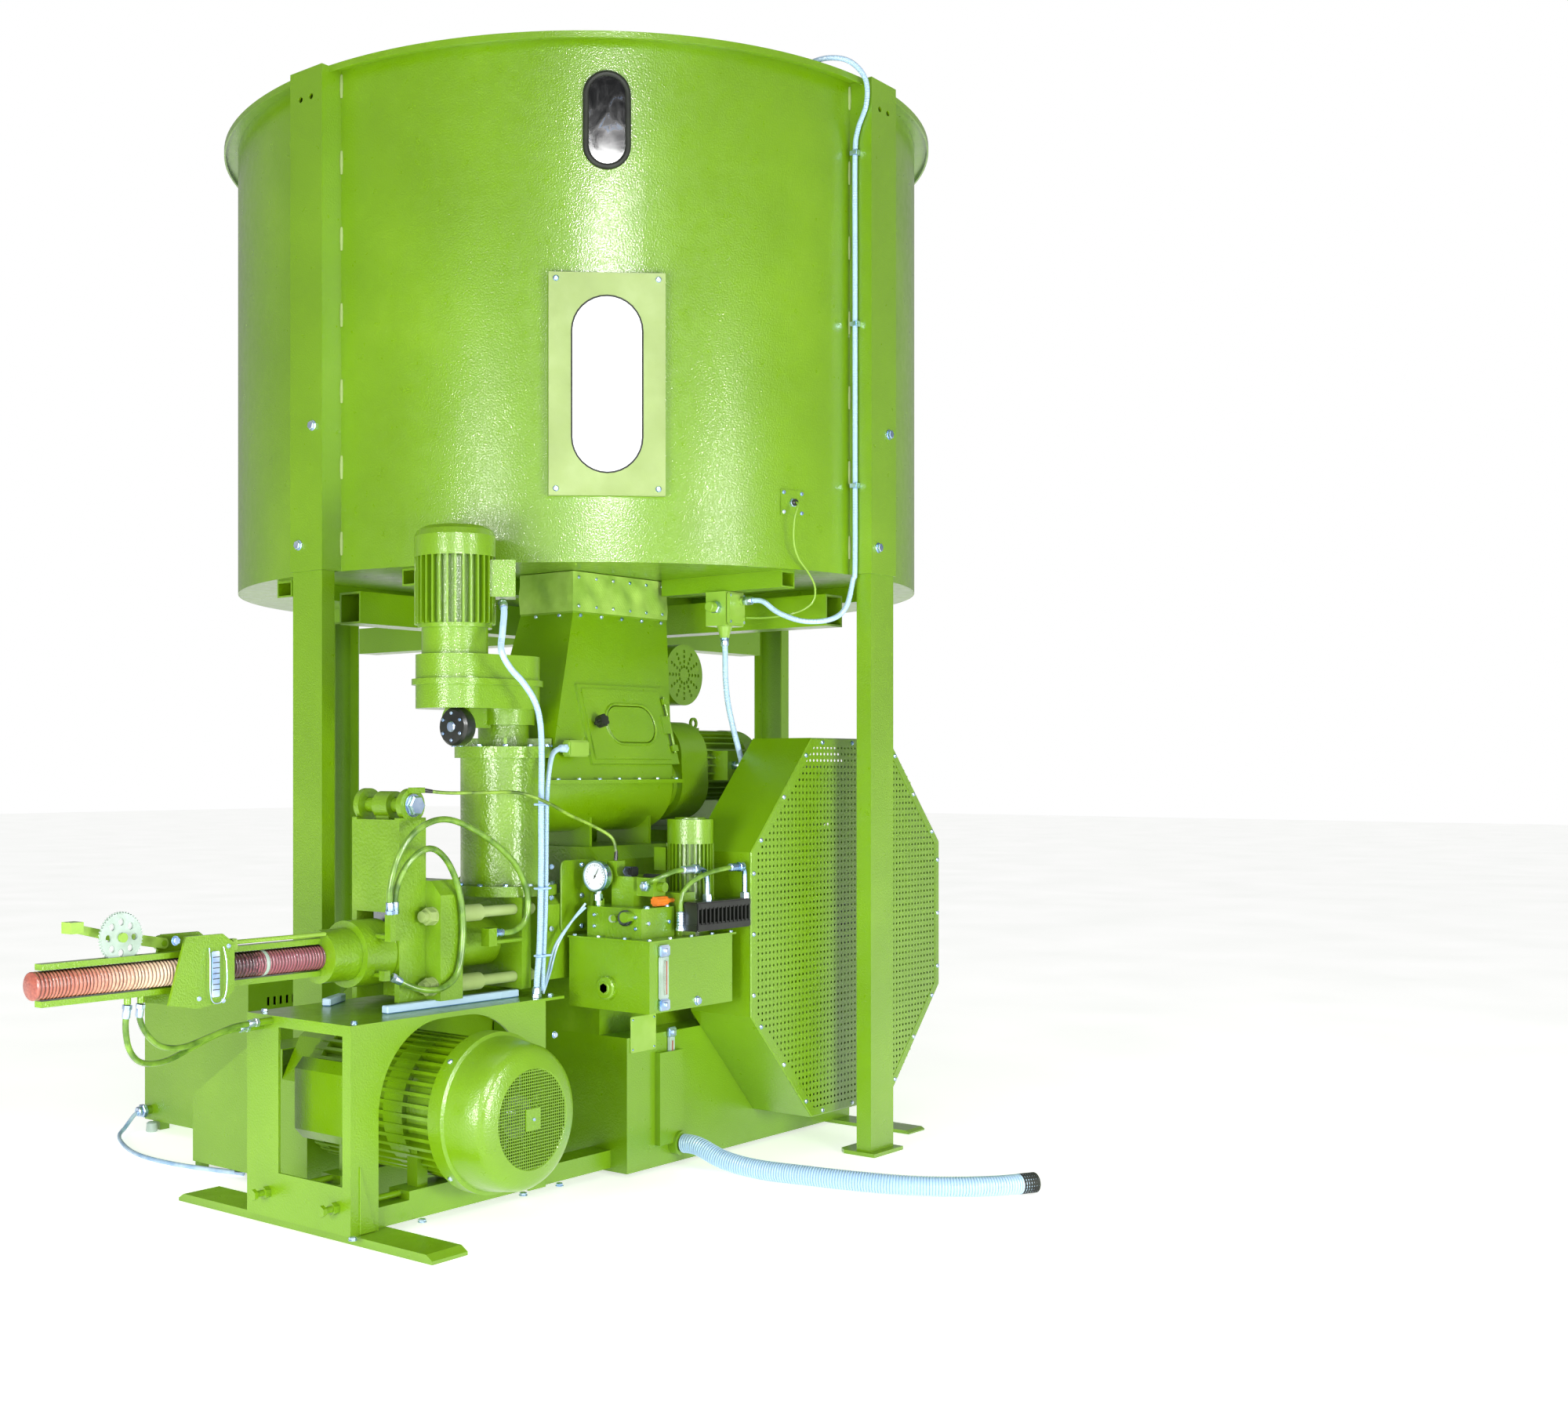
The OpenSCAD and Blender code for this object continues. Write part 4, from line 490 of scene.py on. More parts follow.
FINISH: dict[str, Enamel | BareMetal | Moulded | Pane | Ribbed | Woven | PressedWaste] = {
    "green": Enamel(),
    "cast": Enamel(
        "lime_green_enamel_on_castings", coat="#74A104", deep="#6A9400", worn="#84B022",
        dimple_mm=8.0, dimple_depth_mm=1.6, roughness=0.36, cloud_mm=160.0,
    ),
    "pale": Enamel(
        "pale_green_enamel", coat="#9DB46B", deep="#92A95F", worn="#A9BF7B",
        dimple_mm=4.0, dimple_depth_mm=0.12, roughness=0.62, cloud_mm=200.0, shine=0.0,
    ),
    "light": Enamel(
        "light_green_enamel", coat="#8FB93C", deep="#84AF30", worn="#9FC454",
        dimple_mm=4.0, dimple_depth_mm=0.15, roughness=0.4, cloud_mm=200.0,
    ),
    "zinc": BareMetal("blue_passivated_zinc", "#D8E6F8", "#86AEDD", 0.3, grain_mm=1.0),
    "steel": BareMetal(
        "turned_bare_steel", "#B9BDC0", "#8E9497", 0.28, grain_mm=0.5, stretch=(60.0, 1.0, 60.0), oil=0.2
    ),
    "iron": BareMetal("grey_cast_iron", "#6B7072", "#4A4F50", 0.5, grain_mm=2.0, bump_mm=0.15),
    "bronze": BareMetal("cast_bearing_bronze", "#C79A4E", "#9C7336", 0.34, grain_mm=1.5),
    # Painted light: the opal pane glows, and the smoked glass's blue streaks are a painted reflection.
    "opal": Pane("opal_acrylic", "#E6E9F6", 0.25, transmission=0.0, painted_glow=0.12, smear_and_reflection_colour="#D9DEF2"),
    "smoked": Pane("smoked_glass", "#020305", 0.05, transmission=0.0, smear_and_reflection_colour="#164A7A"),
    "clear": Pane("clear_polycarbonate", "#EAF2E2", 0.08, transmission=0.85),
    "black": Moulded("black_phenolic", "#1C211A", "#0C0F0B", 0.35, gloss=0.3),
    "gasket": Moulded("black_gasket_rubber", "#22281C", "#11150E", 0.6, bump_mm=0.08),
    "hose": Moulded("oil_hose_rubber", "#7BA632", "#48701A", 0.3, gloss=0.5),
    "sheath": Moulded("cable_sheath", "#8FB53C", "#4C6B1D", 0.4, gloss=0.2),
    "pale_sheath": Moulded("pale_cable_sheath", "#B9D3E6", "#8DB2D6", 0.35, gloss=0.2),
    "belt": Moulded("ribbed_belt_rubber", "#24261F", "#15160F", 0.6, bump_mm=0.2),
    "orange": Moulded("orange_nylon", "#F08A24", "#DE6C12", 0.38, gloss=0.2),
    "white": Moulded("white_nylon", "#B4C6BC", "#9DB3A2", 0.42, gloss=0.1),
    "red": Moulded("red_float_lacquer", "#C8512E", "#A93A20", 0.4),
    "dial": Moulded("white_dial_lacquer", "#F2F5FA", "#E2E8F0", 0.3, bump_mm=0.0),
    "conduit": Ribbed(),
    "cloth": Woven(),
    "waste": PressedWaste(),
}

# CAD nodes by finish.
CAD_FINISH: dict[str, str] = {
    "green": (
        "silo_shell silo_floor silo_legs outlet_chute inspection_door screw_trough trough_gearmotor "
        "agitator_motor feeder_gearbox feeder_motor sleepers press_bed belt_guard main_motor motor_base "
        "motor_table outfeed_rails oil_tank pump_motor control_cabinet motor_cowl flywheel_guard"
    ),
    "cast": "crankcase press_head die clamp_head clamp_cylinder feeder_tube valve_block flywheel",
    "pale": "window_plate tie_rods", "light": "junction_box wheel_arm",
    "steel": "agitator trough_screw feed_screw crankshaft connecting_rod ram clamp_jaw motor_rotor",
    "iron": "belt_flywheel motor_pulley", "bronze": "crank_bearings", "black": "door_knob",
    "orange": "valve_knob", "white": "measuring_wheel", "belt": "drive_belts", "conduit": "conduits",
    "waste": "briquette_strand",
}


def round_about(radius: float, count: int) -> list[Flat]:
    """Points of a circle round the origin.

    Args:
        radius: Radius of the circle.
        count: Number of points.

    Returns:
        Pairs of coordinates in order.
    """
    turns = (2 * math.pi * k / count for k in range(count))
    return [(radius * math.cos(turn), radius * math.sin(turn)) for turn in turns]


def frame_of(way: Vector) -> Matrix:
    """Rotation that turns +Z into the given direction."""
    return way.normalized().to_track_quat("Z", "Y").to_matrix().to_4x4()


def curve_through(route: Sequence[Point], steps: int) -> list[Vector]:
    """Catmull-Rom curve through a route, as the CAD tubes use.

    Args:
        route: Points that the curve passes.
        steps: Stretches between two neighbouring points.

    Returns:
        Points along the curve, both ends included.
    """
    pts = [Vector(p) for p in route]
    out: list[Vector] = []
    for i in range(len(pts) - 1):
        a, b, c, d = pts[max(i - 1, 0)], pts[i], pts[i + 1], pts[min(i + 2, len(pts) - 1)]
        for k in range(steps):
            t = k / steps
            cube = 3 * b - a - 3 * c + d
            out.append(0.5 * (2 * b + (c - a) * t + (2 * a - 5 * b + 4 * c - d) * t * t + cube * t**3))
    out.append(pts[-1])
    return out


def even_path(points: Sequence[Vector], step: float) -> list[Vector]:
    """Points a fixed distance apart along a polyline, both ends included.

    Args:
        points: Points of the polyline.
        step: Wanted distance between two points.

    Returns:
        Points along the line.
    """
    total = path_length(points)
    count = max(2, round(total / step))
    out, walked, i = [points[0]], 0.0, 0
    for n in range(1, count):
        want = total * n / count
        while walked + (points[i + 1] - points[i]).length < want:
            walked += (points[i + 1] - points[i]).length
            i += 1
        seg = points[i + 1] - points[i]
        out.append(points[i] + seg * ((want - walked) / max(seg.length, 1e-9)))
    out.append(points[-1])
    return out


def path_length(points: Sequence[Vector]) -> float:
    """Length of a polyline."""
    return sum((b - a).length for a, b in zip(points, points[1:]))


# Screw heads and rivets, turned: distance along the axis and radius.
PAN_HEAD: list[Flat] = [(0, 0.009), (0.003, 0.009), (0.006, 0.006), (0.007, 0)]
COWL_HEAD: list[Flat] = [(0, 0.008), (0.003, 0.008), (0.006, 0.005), (0.0065, 0)]
RIM_HEAD: list[Flat] = [(0, 0.0075), (0.0015, 0.0075), (0.005, 0.005), (0.006, 0)]
LID_HEAD: list[Flat] = [(0, 0.005), (0.001, 0.005), (0.0015, 0.002), (0.0005, 0)]
SLEEVE_RIVET: list[Flat] = [(0, 0.006), (0.002, 0.005), (0.0032, 0.002), (0.0034, 0)]
PLATE_RIVET: list[Flat] = [(0, 0.004), (0.0015, 0.003), (0.002, 0)]


class Shape:
    """One mesh piece, put together from turned, flat and swept parts."""

    def __init__(self) -> None:
        """Start an empty mesh."""
        self.bm = bmesh.new()

    def _faces(self, verts: Sequence[Any]) -> None:
        """Add a face unless it is there already.

        Args:
            verts: Corners in order.
        """
        try:
            self.bm.faces.new(verts)
        except ValueError:
            pass

    def skin(self, rings: Sequence[Sequence[Any]]) -> None:
        """Join rings of vertices, one after the other, with four-sided faces.

        Args:
            rings: Rings in order, each with as many vertices.
        """
        for a, b in zip(rings, rings[1:]):
            for k in range(len(a)):
                n = (k + 1) % len(a)
                self._faces([a[k], a[n], b[n], b[k]])

    def block(self, lo: Point, hi: Point, bevel: float = 0.0, turn: Optional[Matrix] = None) -> "Shape":
        """Box between two corners, with eased edges.

        Args:
            lo: Lowest corner.
            hi: Highest corner.
            bevel: Width of the eased edge.
            turn: Placement that is applied last.

        Returns:
            This shape.
        """
        part = bmesh.new()
        bmesh.ops.create_cube(part, size=1.0)
        size = [max(1e-5, h - low) for low, h in zip(lo, hi)]
        mid = [(h + low) / 2 for low, h in zip(lo, hi)]
        part.transform(Matrix.Translation(mid) @ Matrix.Diagonal((*size, 1.0)))
        if bevel:
            bmesh.ops.bevel(
                part, geom=list(part.edges), offset=min(bevel, min(size) * 0.45), segments=2,
                affect="EDGES",
            )
        if turn:
            part.transform(turn)
        self._merge(part)
        return self

    def lathe(
        self, base: Point, way: Vector, profile: Sequence[Flat], sides: int = 32, spin: float = 0.0
    ) -> "Shape":
        """Body turned round an axis.

        Args:
            base: Point on the axis where the profile starts.
            way: Direction of the axis.
            profile: Pairs of distance along the axis and radius.
            sides: Number of sides.
            spin: Turn about the axis in radians.

        Returns:
            This shape.
        """
        place = Matrix.Translation(base) @ frame_of(way) @ Matrix.Rotation(spin, 4, "Z")
        rings: list[list[Any]] = []
        for along, radius in profile:
            if radius <= 1e-7:
                rings.append([self.bm.verts.new(place @ Vector((0, 0, along)))])
                continue
            ring = [place @ Vector((a, b, along)) for a, b in round_about(radius, sides)]
            rings.append([self.bm.verts.new(p) for p in ring])
        for a, b in zip(rings, rings[1:]):
            for k in range(sides):
                n = (k + 1) % sides
                if len(a) == 1:
                    self._faces([a[0], b[k], b[n]])
                elif len(b) == 1:
                    self._faces([a[k], a[n], b[0]])
                else:
                    self._faces([a[k], a[n], b[n], b[k]])
        for ring, flip in ((rings[0], True), (rings[-1], False)):
            if len(ring) > 2:
                self._faces(list(reversed(ring)) if flip else ring)
        return self

    def bar(
        self, base: Point, way: Vector, radius: float, length: float, ease: float = 0.0, sides: int = 28
    ) -> "Shape":
        """Round bar with eased ends.

        Args:
            base: Point on the axis where the bar starts.
            way: Direction of the axis.
            radius: Radius of the bar.
            length: Its length.
            ease: Width of its eased edges.
            sides: Number of sides.

        Returns:
            This shape.
        """
        e = min(ease, radius * 0.5, length * 0.4)
        if e > 0:
            profile = [(0, radius - e), (e, radius), (length - e, radius), (length, radius - e)]
            return self.lathe(base, way, profile, sides)
        return self.lathe(base, way, [(0, radius), (length, radius)], sides)

    def hexagon(self, base: Point, way: Vector, radius: float, height: float, spin: float = 0.0) -> "Shape":
        """Hexagon head or nut with its corners turned off.

        Args:
            base: Point on the axis where the hexagon starts.
            way: Direction of the axis.
            radius: Radius over the corners.
            height: Height along the axis.
            spin: Turn about the axis in radians.

        Returns:
            This shape.
        """
        r, h = radius, height
        profile = [(0, r), (h * 0.8, r), (h, r * 0.86), (h, r * 0.5), (h * 0.98, 0)]
        return self.lathe(base, way, profile, 6, spin)

    def bolt(self, base: Point, way: Vector, size: float, spin: float = 0.3) -> "Shape":
        """Hexagon bolt head on its washer.

        Args:
            base: Point where the washer lies.
            way: Direction that the head stands in.
            size: Nominal thread diameter.
            spin: Turn of the head in radians.

        Returns:
            This shape.
        """
        v = Vector(way)
        self.bar(base, v, size * 1.05, size * 0.16, size * 0.04, 24)
        top = Vector(base) + v.normalized() * size * 0.16
        return self.hexagon(tuple(top), v, size * 0.9, size * 0.6, spin)

    def socket_screw(self, base: Point, way: Vector, size: float) -> "Shape":
        """Cap screw with a hexagon socket.

        Args:
            base: Point that the head stands on.
            way: Direction that the head stands in.
            size: Nominal thread diameter.

        Returns:
            This shape.
        """
        r, h = size * 0.8, size * 0.7
        profile = [(0, r), (h * 0.85, r), (h, r * 0.88), (h, r * 0.52), (h * 0.4, r * 0.5), (h * 0.4, 0)]
        return self.lathe(base, way, profile, 18)

    def sweep(
        self, path: Sequence[Vector], radii: float | Callable[[int], float], sides: int = 12,
        closed_ends: bool = True,
    ) -> "Shape":
        """Tube along a path.

        Args:
            path: Centre line.
            radii: Radius, or a function from ring number to radius.
            sides: Number of sides.
            closed_ends: Whether both ends are capped.

        Returns:
            This shape.
        """
        normal: Optional[Vector] = None
        rings: list[list[Any]] = []
        for i, point in enumerate(path):
            run = (path[min(i + 1, len(path) - 1)] - path[max(i - 1, 0)]).normalized()
            if normal is None:
                normal = run.orthogonal().normalized()
            normal = (normal - run * normal.dot(run)).normalized()
            across = run.cross(normal)
            r = radii(i) if callable(radii) else radii
            ring = [point + normal * a + across * b for a, b in round_about(r, sides)]
            rings.append([self.bm.verts.new(p) for p in ring])
        self.skin(rings)
        if closed_ends:
            self._faces(list(reversed(rings[0])))
            self._faces(rings[-1])
        return self

    def prism(self, outline: Sequence[Point], way: Vector, depth: float, bevel: float = 0.0) -> "Shape":
        """Flat outline in space, given a depth.

        Args:
            outline: Corners in order.
            way: Direction of the depth.
            depth: How deep.
            bevel: Width of the eased edge.

        Returns:
            This shape.
        """
        part = bmesh.new()
        low = [part.verts.new(p) for p in outline]
        face = part.faces.new(low)
        moved = bmesh.ops.extrude_face_region(part, geom=[face])
        shift = Vector(way).normalized() * depth
        for v in (g for g in moved["geom"] if isinstance(g, bmesh.types.BMVert)):
            v.co += shift
        bmesh.ops.recalc_face_normals(part, faces=part.faces)
        if bevel:
            bmesh.ops.bevel(part, geom=list(part.edges), offset=bevel, segments=1, affect="EDGES")
        self._merge(part)
        return self

    def loop(
        self, centre: Point, way: Vector, ring: float, wire: float, sides: int = 32, wire_sides: int = 10
    ) -> "Shape":
        """Closed ring of round wire.

        Args:
            centre: Middle of the ring.
            way: Normal of the ring's plane.
            ring: Radius of the wire's centre line.
            wire: Radius of the wire.
            sides: Points round the ring.
            wire_sides: Points round the wire.

        Returns:
            This shape.
        """
        place = Matrix.Translation(centre) @ frame_of(Vector(way))
        rows = []
        for cos, sin in round_about(1.0, sides):
            wires = ((ring + a, b) for a, b in round_about(wire, wire_sides))
            rows.append(
                [self.bm.verts.new(place @ Vector((reach * cos, reach * sin, up))) for reach, up in wires]
            )
        for i in range(sides):
            for j in range(wire_sides):
                n, m = (i + 1) % sides, (j + 1) % wire_sides
                self._faces([rows[i][j], rows[n][j], rows[n][m], rows[i][m]])
        return self

    def band(self, inner: Sequence[Vector], outer: Sequence[Vector], way: Vector, depth: float) -> "Shape":
        """Flat frame between two outlines with as many points, given a depth.

        Args:
            inner: Inner outline.
            outer: Outer outline.
            way: Direction of the depth.
            depth: How deep.

        Returns:
            This shape.
        """
        shift = Vector(way).normalized() * depth
        rings = [
            [self.bm.verts.new(p + s) for p in line]
            for line in (inner, outer)
            for s in (Vector((0, 0, 0)), shift)
        ]
        in0, in1, out0, out1 = rings
        count = len(in0)
        for k in range(count):
            n = (k + 1) % count
            for a, b in ((in1, out1), (out0, in0), (out1, out0), (in0, in1)):
                self._faces([a[k], b[k], b[n], a[n]])
        return self

    def _merge(self, part: bmesh.types.BMesh) -> None:
        """Take over another mesh and free it.

        Args:
            part: Mesh that is taken over.
        """
        mesh = bpy.data.meshes.new("part")
        part.to_mesh(mesh)
        part.free()
        self.bm.from_mesh(mesh)
        bpy.data.meshes.remove(mesh)

    def bead(
        self, loop: Sequence[Vector], way: Vector, half_width: float, half_height: float, sides: int = 8
    ) -> "Shape":
        """Closed rounded bead that follows a flat loop.

        Args:
            loop: Points of the loop, in order.
            way: Normal of the loop's plane.
            half_width: Half the bead's width in the plane.
            half_height: Half its height along the normal.
            sides: Points round the bead.

        Returns:
            This shape.
        """
        up = Vector(way).normalized()
        rows = []
        for i, point in enumerate(loop):
            run = (loop[(i + 1) % len(loop)] - loop[i - 1]).normalized()
            out = run.cross(up)
            ring = [(half_width * cos, half_height * sin) for cos, sin in round_about(1.0, sides)]
            rows.append([self.bm.verts.new(point + out * a + up * b) for a, b in ring])
        for i, row in enumerate(rows):
            after = rows[(i + 1) % len(rows)]
            for k in range(sides):
                n = (k + 1) % sides
                self._faces([row[k], after[k], after[n], row[n]])
        return self

    def make(
        self, name: str, finishes: Materials, finish: str, body: str = BODY, smooth: float = 32.0
    ) -> bpy.types.Object:
        """Turn the mesh into a piece that rides on a body.

        Args:
            name: Name of the piece.
            finishes: The materials.
            finish: Which of them the piece has.
            body: Body that it moves with.
            smooth: Edges flatter than this many degrees are smoothed.

        Returns:
            The new object.
        """
        bmesh.ops.recalc_face_normals(self.bm, faces=self.bm.faces)
        mesh = bpy.data.meshes.new(name)
        self.bm.to_mesh(mesh)
        self.bm.free()
        mesh.shade_smooth()
        mesh.set_sharp_from_angle(angle=math.radians(smooth))
        mesh.materials.append(finishes[finish])
        piece = bpy.data.objects.new(name, mesh)
        bpy.context.scene.collection.objects.link(piece)
        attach(piece, body)
        log.info("%s: %d faces on %s", name, len(mesh.polygons), body)
        return piece


def stadium(width: float, height: float, count: int = 12) -> list[Flat]:
    """Outline with round ends, upright, as flat points.

    Args:
        width: Width of the outline.
        height: Its height over the round ends.
        count: Stretches in each round end.

    Returns:
        Points in order.
    """
    r, h = width / 2, height / 2 - width / 2
    top = [
        (r * math.cos(math.pi * k / count), h + r * math.sin(math.pi * k / count))
        for k in range(count + 1)
    ]
    return top + [(-x, -z) for x, z in top]


@dataclass
class Studio:
    """Camera, pale floor and soft lights."""

    eye: Point = (-5.180, -4.431, 1.261)
    heading_deg: float = -48.62
    lens_mm: float = 41.61
    shift: Flat = (0.15, 0.0364)
    sky: float = 0.35
    sensor_mm: float = 36.0
    far: float = 60.0
    floor_half: float = 40.0
    floor_z: float = -0.001

    def camera(self) -> None:
        """Place the camera where the machine was seen from."""
        data = bpy.data.cameras.new("camera")
        data.lens, data.sensor_width, data.sensor_fit = self.lens_mm, self.sensor_mm, "HORIZONTAL"
        data.shift_x, data.shift_y = self.shift
        data.clip_end = self.far
        cam = bpy.data.objects.new("camera", data)
        cam.location = self.eye
        cam.rotation_euler = (math.radians(90), 0, math.radians(self.heading_deg))
        bpy.context.scene.collection.objects.link(cam)
        bpy.context.scene.camera = cam

    def floor(self) -> None:
        """Lay the pale floor."""
        mat, tree = blank("pale_studio_floor")
        place = add(tree, "TexCoord").outputs["Object"]
        cloud = add(tree, "TexNoise", vector=place, scale=1.2, detail=4.0).outputs["Fac"]
        tone = add(
            tree, "ValToRGB", {"stops": [(0.3, "#F4F5F3"), (0.7, "#FAFAF9")]}, fac=cloud
        ).outputs["Color"]
        shader = add(
            tree, "BsdfPrincipled", base_color=tone, roughness=0.7, emission_color=tone,
            emission_strength=0.66,
        )
        add(tree, "OutputMaterial", surface=shader.outputs["BSDF"])
        mesh = bpy.data.meshes.new("floor")
        corners = [
            (x * self.floor_half, y * self.floor_half, self.floor_z)
            for x, y in ((-1, -1), (1, -1), (1, 1), (-1, 1))
        ]
        mesh.from_pydata(corners, [], [(0, 1, 2, 3)])
        mesh.materials.append(mat)
        floor = bpy.data.objects.new("floor", mesh)
        bpy.context.scene.collection.objects.link(floor)

    def lamp(
        self, name: str, where: Point, aim: Point, size: Flat, power: float, gloss_only: bool = False
    ) -> None:
        """Hang one rectangular soft light.

        Args:
            name: Name of the light.
            where: Its place.
            aim: Point that it shines at.
            size: Width and height.
            power: Watts.
            gloss_only: Whether it shows only in the gloss of the surfaces.
        """
        data = bpy.data.lights.new(name, "AREA")
        data.shape, data.size, data.size_y = "RECTANGLE", size[0], size[1]
        data.energy = power
        light = bpy.data.objects.new(name, data)
        light.location = where
        light.rotation_euler = (Vector(where) - Vector(aim)).to_track_quat("Z", "Y").to_euler()
        light.visible_camera = False
        light.visible_diffuse = not gloss_only
        bpy.context.scene.collection.objects.link(light)

    def light(self) -> None:
        """Light the press softly from above, in front and from both sides."""
        world = bpy.data.worlds.new("studio")
        bpy.context.scene.world = world
        world.use_nodes = True
        tree = world.node_tree
        tree.nodes.clear()
        seen = add(tree, "LightPath").outputs["Is Camera Ray"]
        power = add(
            tree, "MapRange", value=seen, from_min=0.0, from_max=1.0, to_min=self.sky, to_max=1.0
        ).outputs["Result"]
        sky = add(tree, "Background", color=linear("#FFFFFF"), strength=power)
        add(tree, "OutputWorld", surface=sky.outputs["Background"])
        self.lamp("frontal_softbox", (-7.6, -6.6, 1.7), (-0.9, -0.8, 1.2), (3.0, 2.4), 75)
        self.lamp("strip_light", (-4.55, -5.32, 3.9), (-0.88, -0.88, 2.6), (0.30, 2.2), 300, True)
        self.lamp("left_spot", (-5.95, -1.63, 2.75), (-1.106, -0.583, 2.05), (0.3, 0.4), 52, True)
        self.lamp("right_spot", (-0.77, -6.05, 2.75), (-0.589, -1.102, 2.05), (0.3, 0.4), 52, True)
        self.lamp("low_left_softbox", (-5.4, -1.6, 0.9), (-0.9, -0.6, 0.7), (1.6, 1.0), 120)
        self.lamp("low_right_softbox", (-1.6, -5.4, 0.9), (-0.6, -0.8, 0.7), (1.6, 1.0), 120)
        self.lamp("overhead_softbox", (-0.8, -1.0, 8.0), (-0.5, -0.5, 0.0), (4.0, 4.0), 50)
        bpy.context.scene.view_settings.view_transform = "Standard"


# Routes of the hoses and cables, the same as those of their CAD solids.
CLAMP_HOSE: list[Point] = [
    (-1.700, -0.780, 0.857), (-1.710, -0.790, 0.930), (-1.690, -0.805, 1.020), (-1.640, -0.820, 1.085),
    (-1.560, -0.825, 1.115), (-1.470, -0.825, 1.105), (-1.350, -0.825, 1.055), (-1.240, -0.825, 0.980),
    (-1.185, -0.825, 0.890), (-1.190, -0.825, 0.815), (-1.240, -0.820, 0.780), (-1.310, -0.806, 0.780),
]
HEAD_HOSE: list[Point] = [
    (-1.675, -0.770, 0.857), (-1.680, -0.785, 0.930), (-1.650, -0.805, 1.000), (-1.590, -0.818, 1.035),
    (-1.530, -0.820, 1.010), (-1.480, -0.820, 0.940), (-1.455, -0.820, 0.850), (-1.455, -0.820, 0.750),
    (-1.480, -0.820, 0.670), (-1.550, -0.820, 0.637), (-1.620, -0.800, 0.645), (-1.688, -0.772, 0.680),
]
LINE_HOSE_1: list[Point] = [
    (-2.480, -0.650, 0.669), (-2.480, -0.642, 0.610), (-2.455, -0.625, 0.550), (-2.400, -0.600, 0.510),
    (-2.310, -0.575, 0.500), (-2.200, -0.550, 0.522), (-2.090, -0.530, 0.545), (-1.990, -0.520, 0.548),
]
LINE_HOSE_2: list[Point] = [
    (-2.440, -0.650, 0.668), (-2.437, -0.642, 0.630), (-2.400, -0.620, 0.585), (-2.340, -0.600, 0.545),
    (-2.260, -0.585, 0.532), (-2.160, -0.570, 0.547), (-2.070, -0.562, 0.563), (-1.990, -0.560, 0.566),
]
CLAMP_CABLE: list[Point] = [
    (-1.555, -0.760, 1.198), (-1.480, -0.785, 1.190), (-1.360, -0.820, 1.190), (-1.240, -0.845, 1.188),
    (-1.150, -0.870, 1.160), (-1.050, -0.875, 1.120), (-0.960, -0.885, 1.088), (-0.895, -0.910, 1.050),
    (-0.885, -0.920, 1.010), (-0.885, -0.920, 0.979),
]
SPIRAL_HOSE: list[Point] = [
    (-0.600, -0.963, 0.075), (-0.600, -1.020, 0.074), (-0.600, -1.120, 0.045), (-0.590, -1.240, 0.032),
    (-0.565, -1.400, 0.032), (-0.530, -1.550, 0.032), (-0.480, -1.690, 0.032), (-0.400, -1.810, 0.032),
    (-0.300, -1.900, 0.032), (-0.190, -1.960, 0.032),
]
FLOOR_CABLE: list[Point] = [
    (-1.384, 0.790, 0.070), (-1.420, 0.790, 0.062), (-1.470, 0.775, 0.028), (-1.520, 0.740, 0.012),
    (-1.580, 0.640, 0.009), (-1.640, 0.500, 0.009), (-1.665, 0.370, 0.009), (-1.660, 0.220, 0.009),
    (-1.630, 0.080, 0.009), (-1.600, -0.020, 0.009),
]


# Ends of a hose and of a cable: distance along it and radius over its own.
FERRULE: list[Flat] = [(0, 1.15), (0.004, 1.3), (0.03, 1.3), (0.034, 1.1)]
SHEATH_END: list[Flat] = [(0, 1.27), (0.010, 1.27), (0.016, 1.2), (0.03, 1.08)]


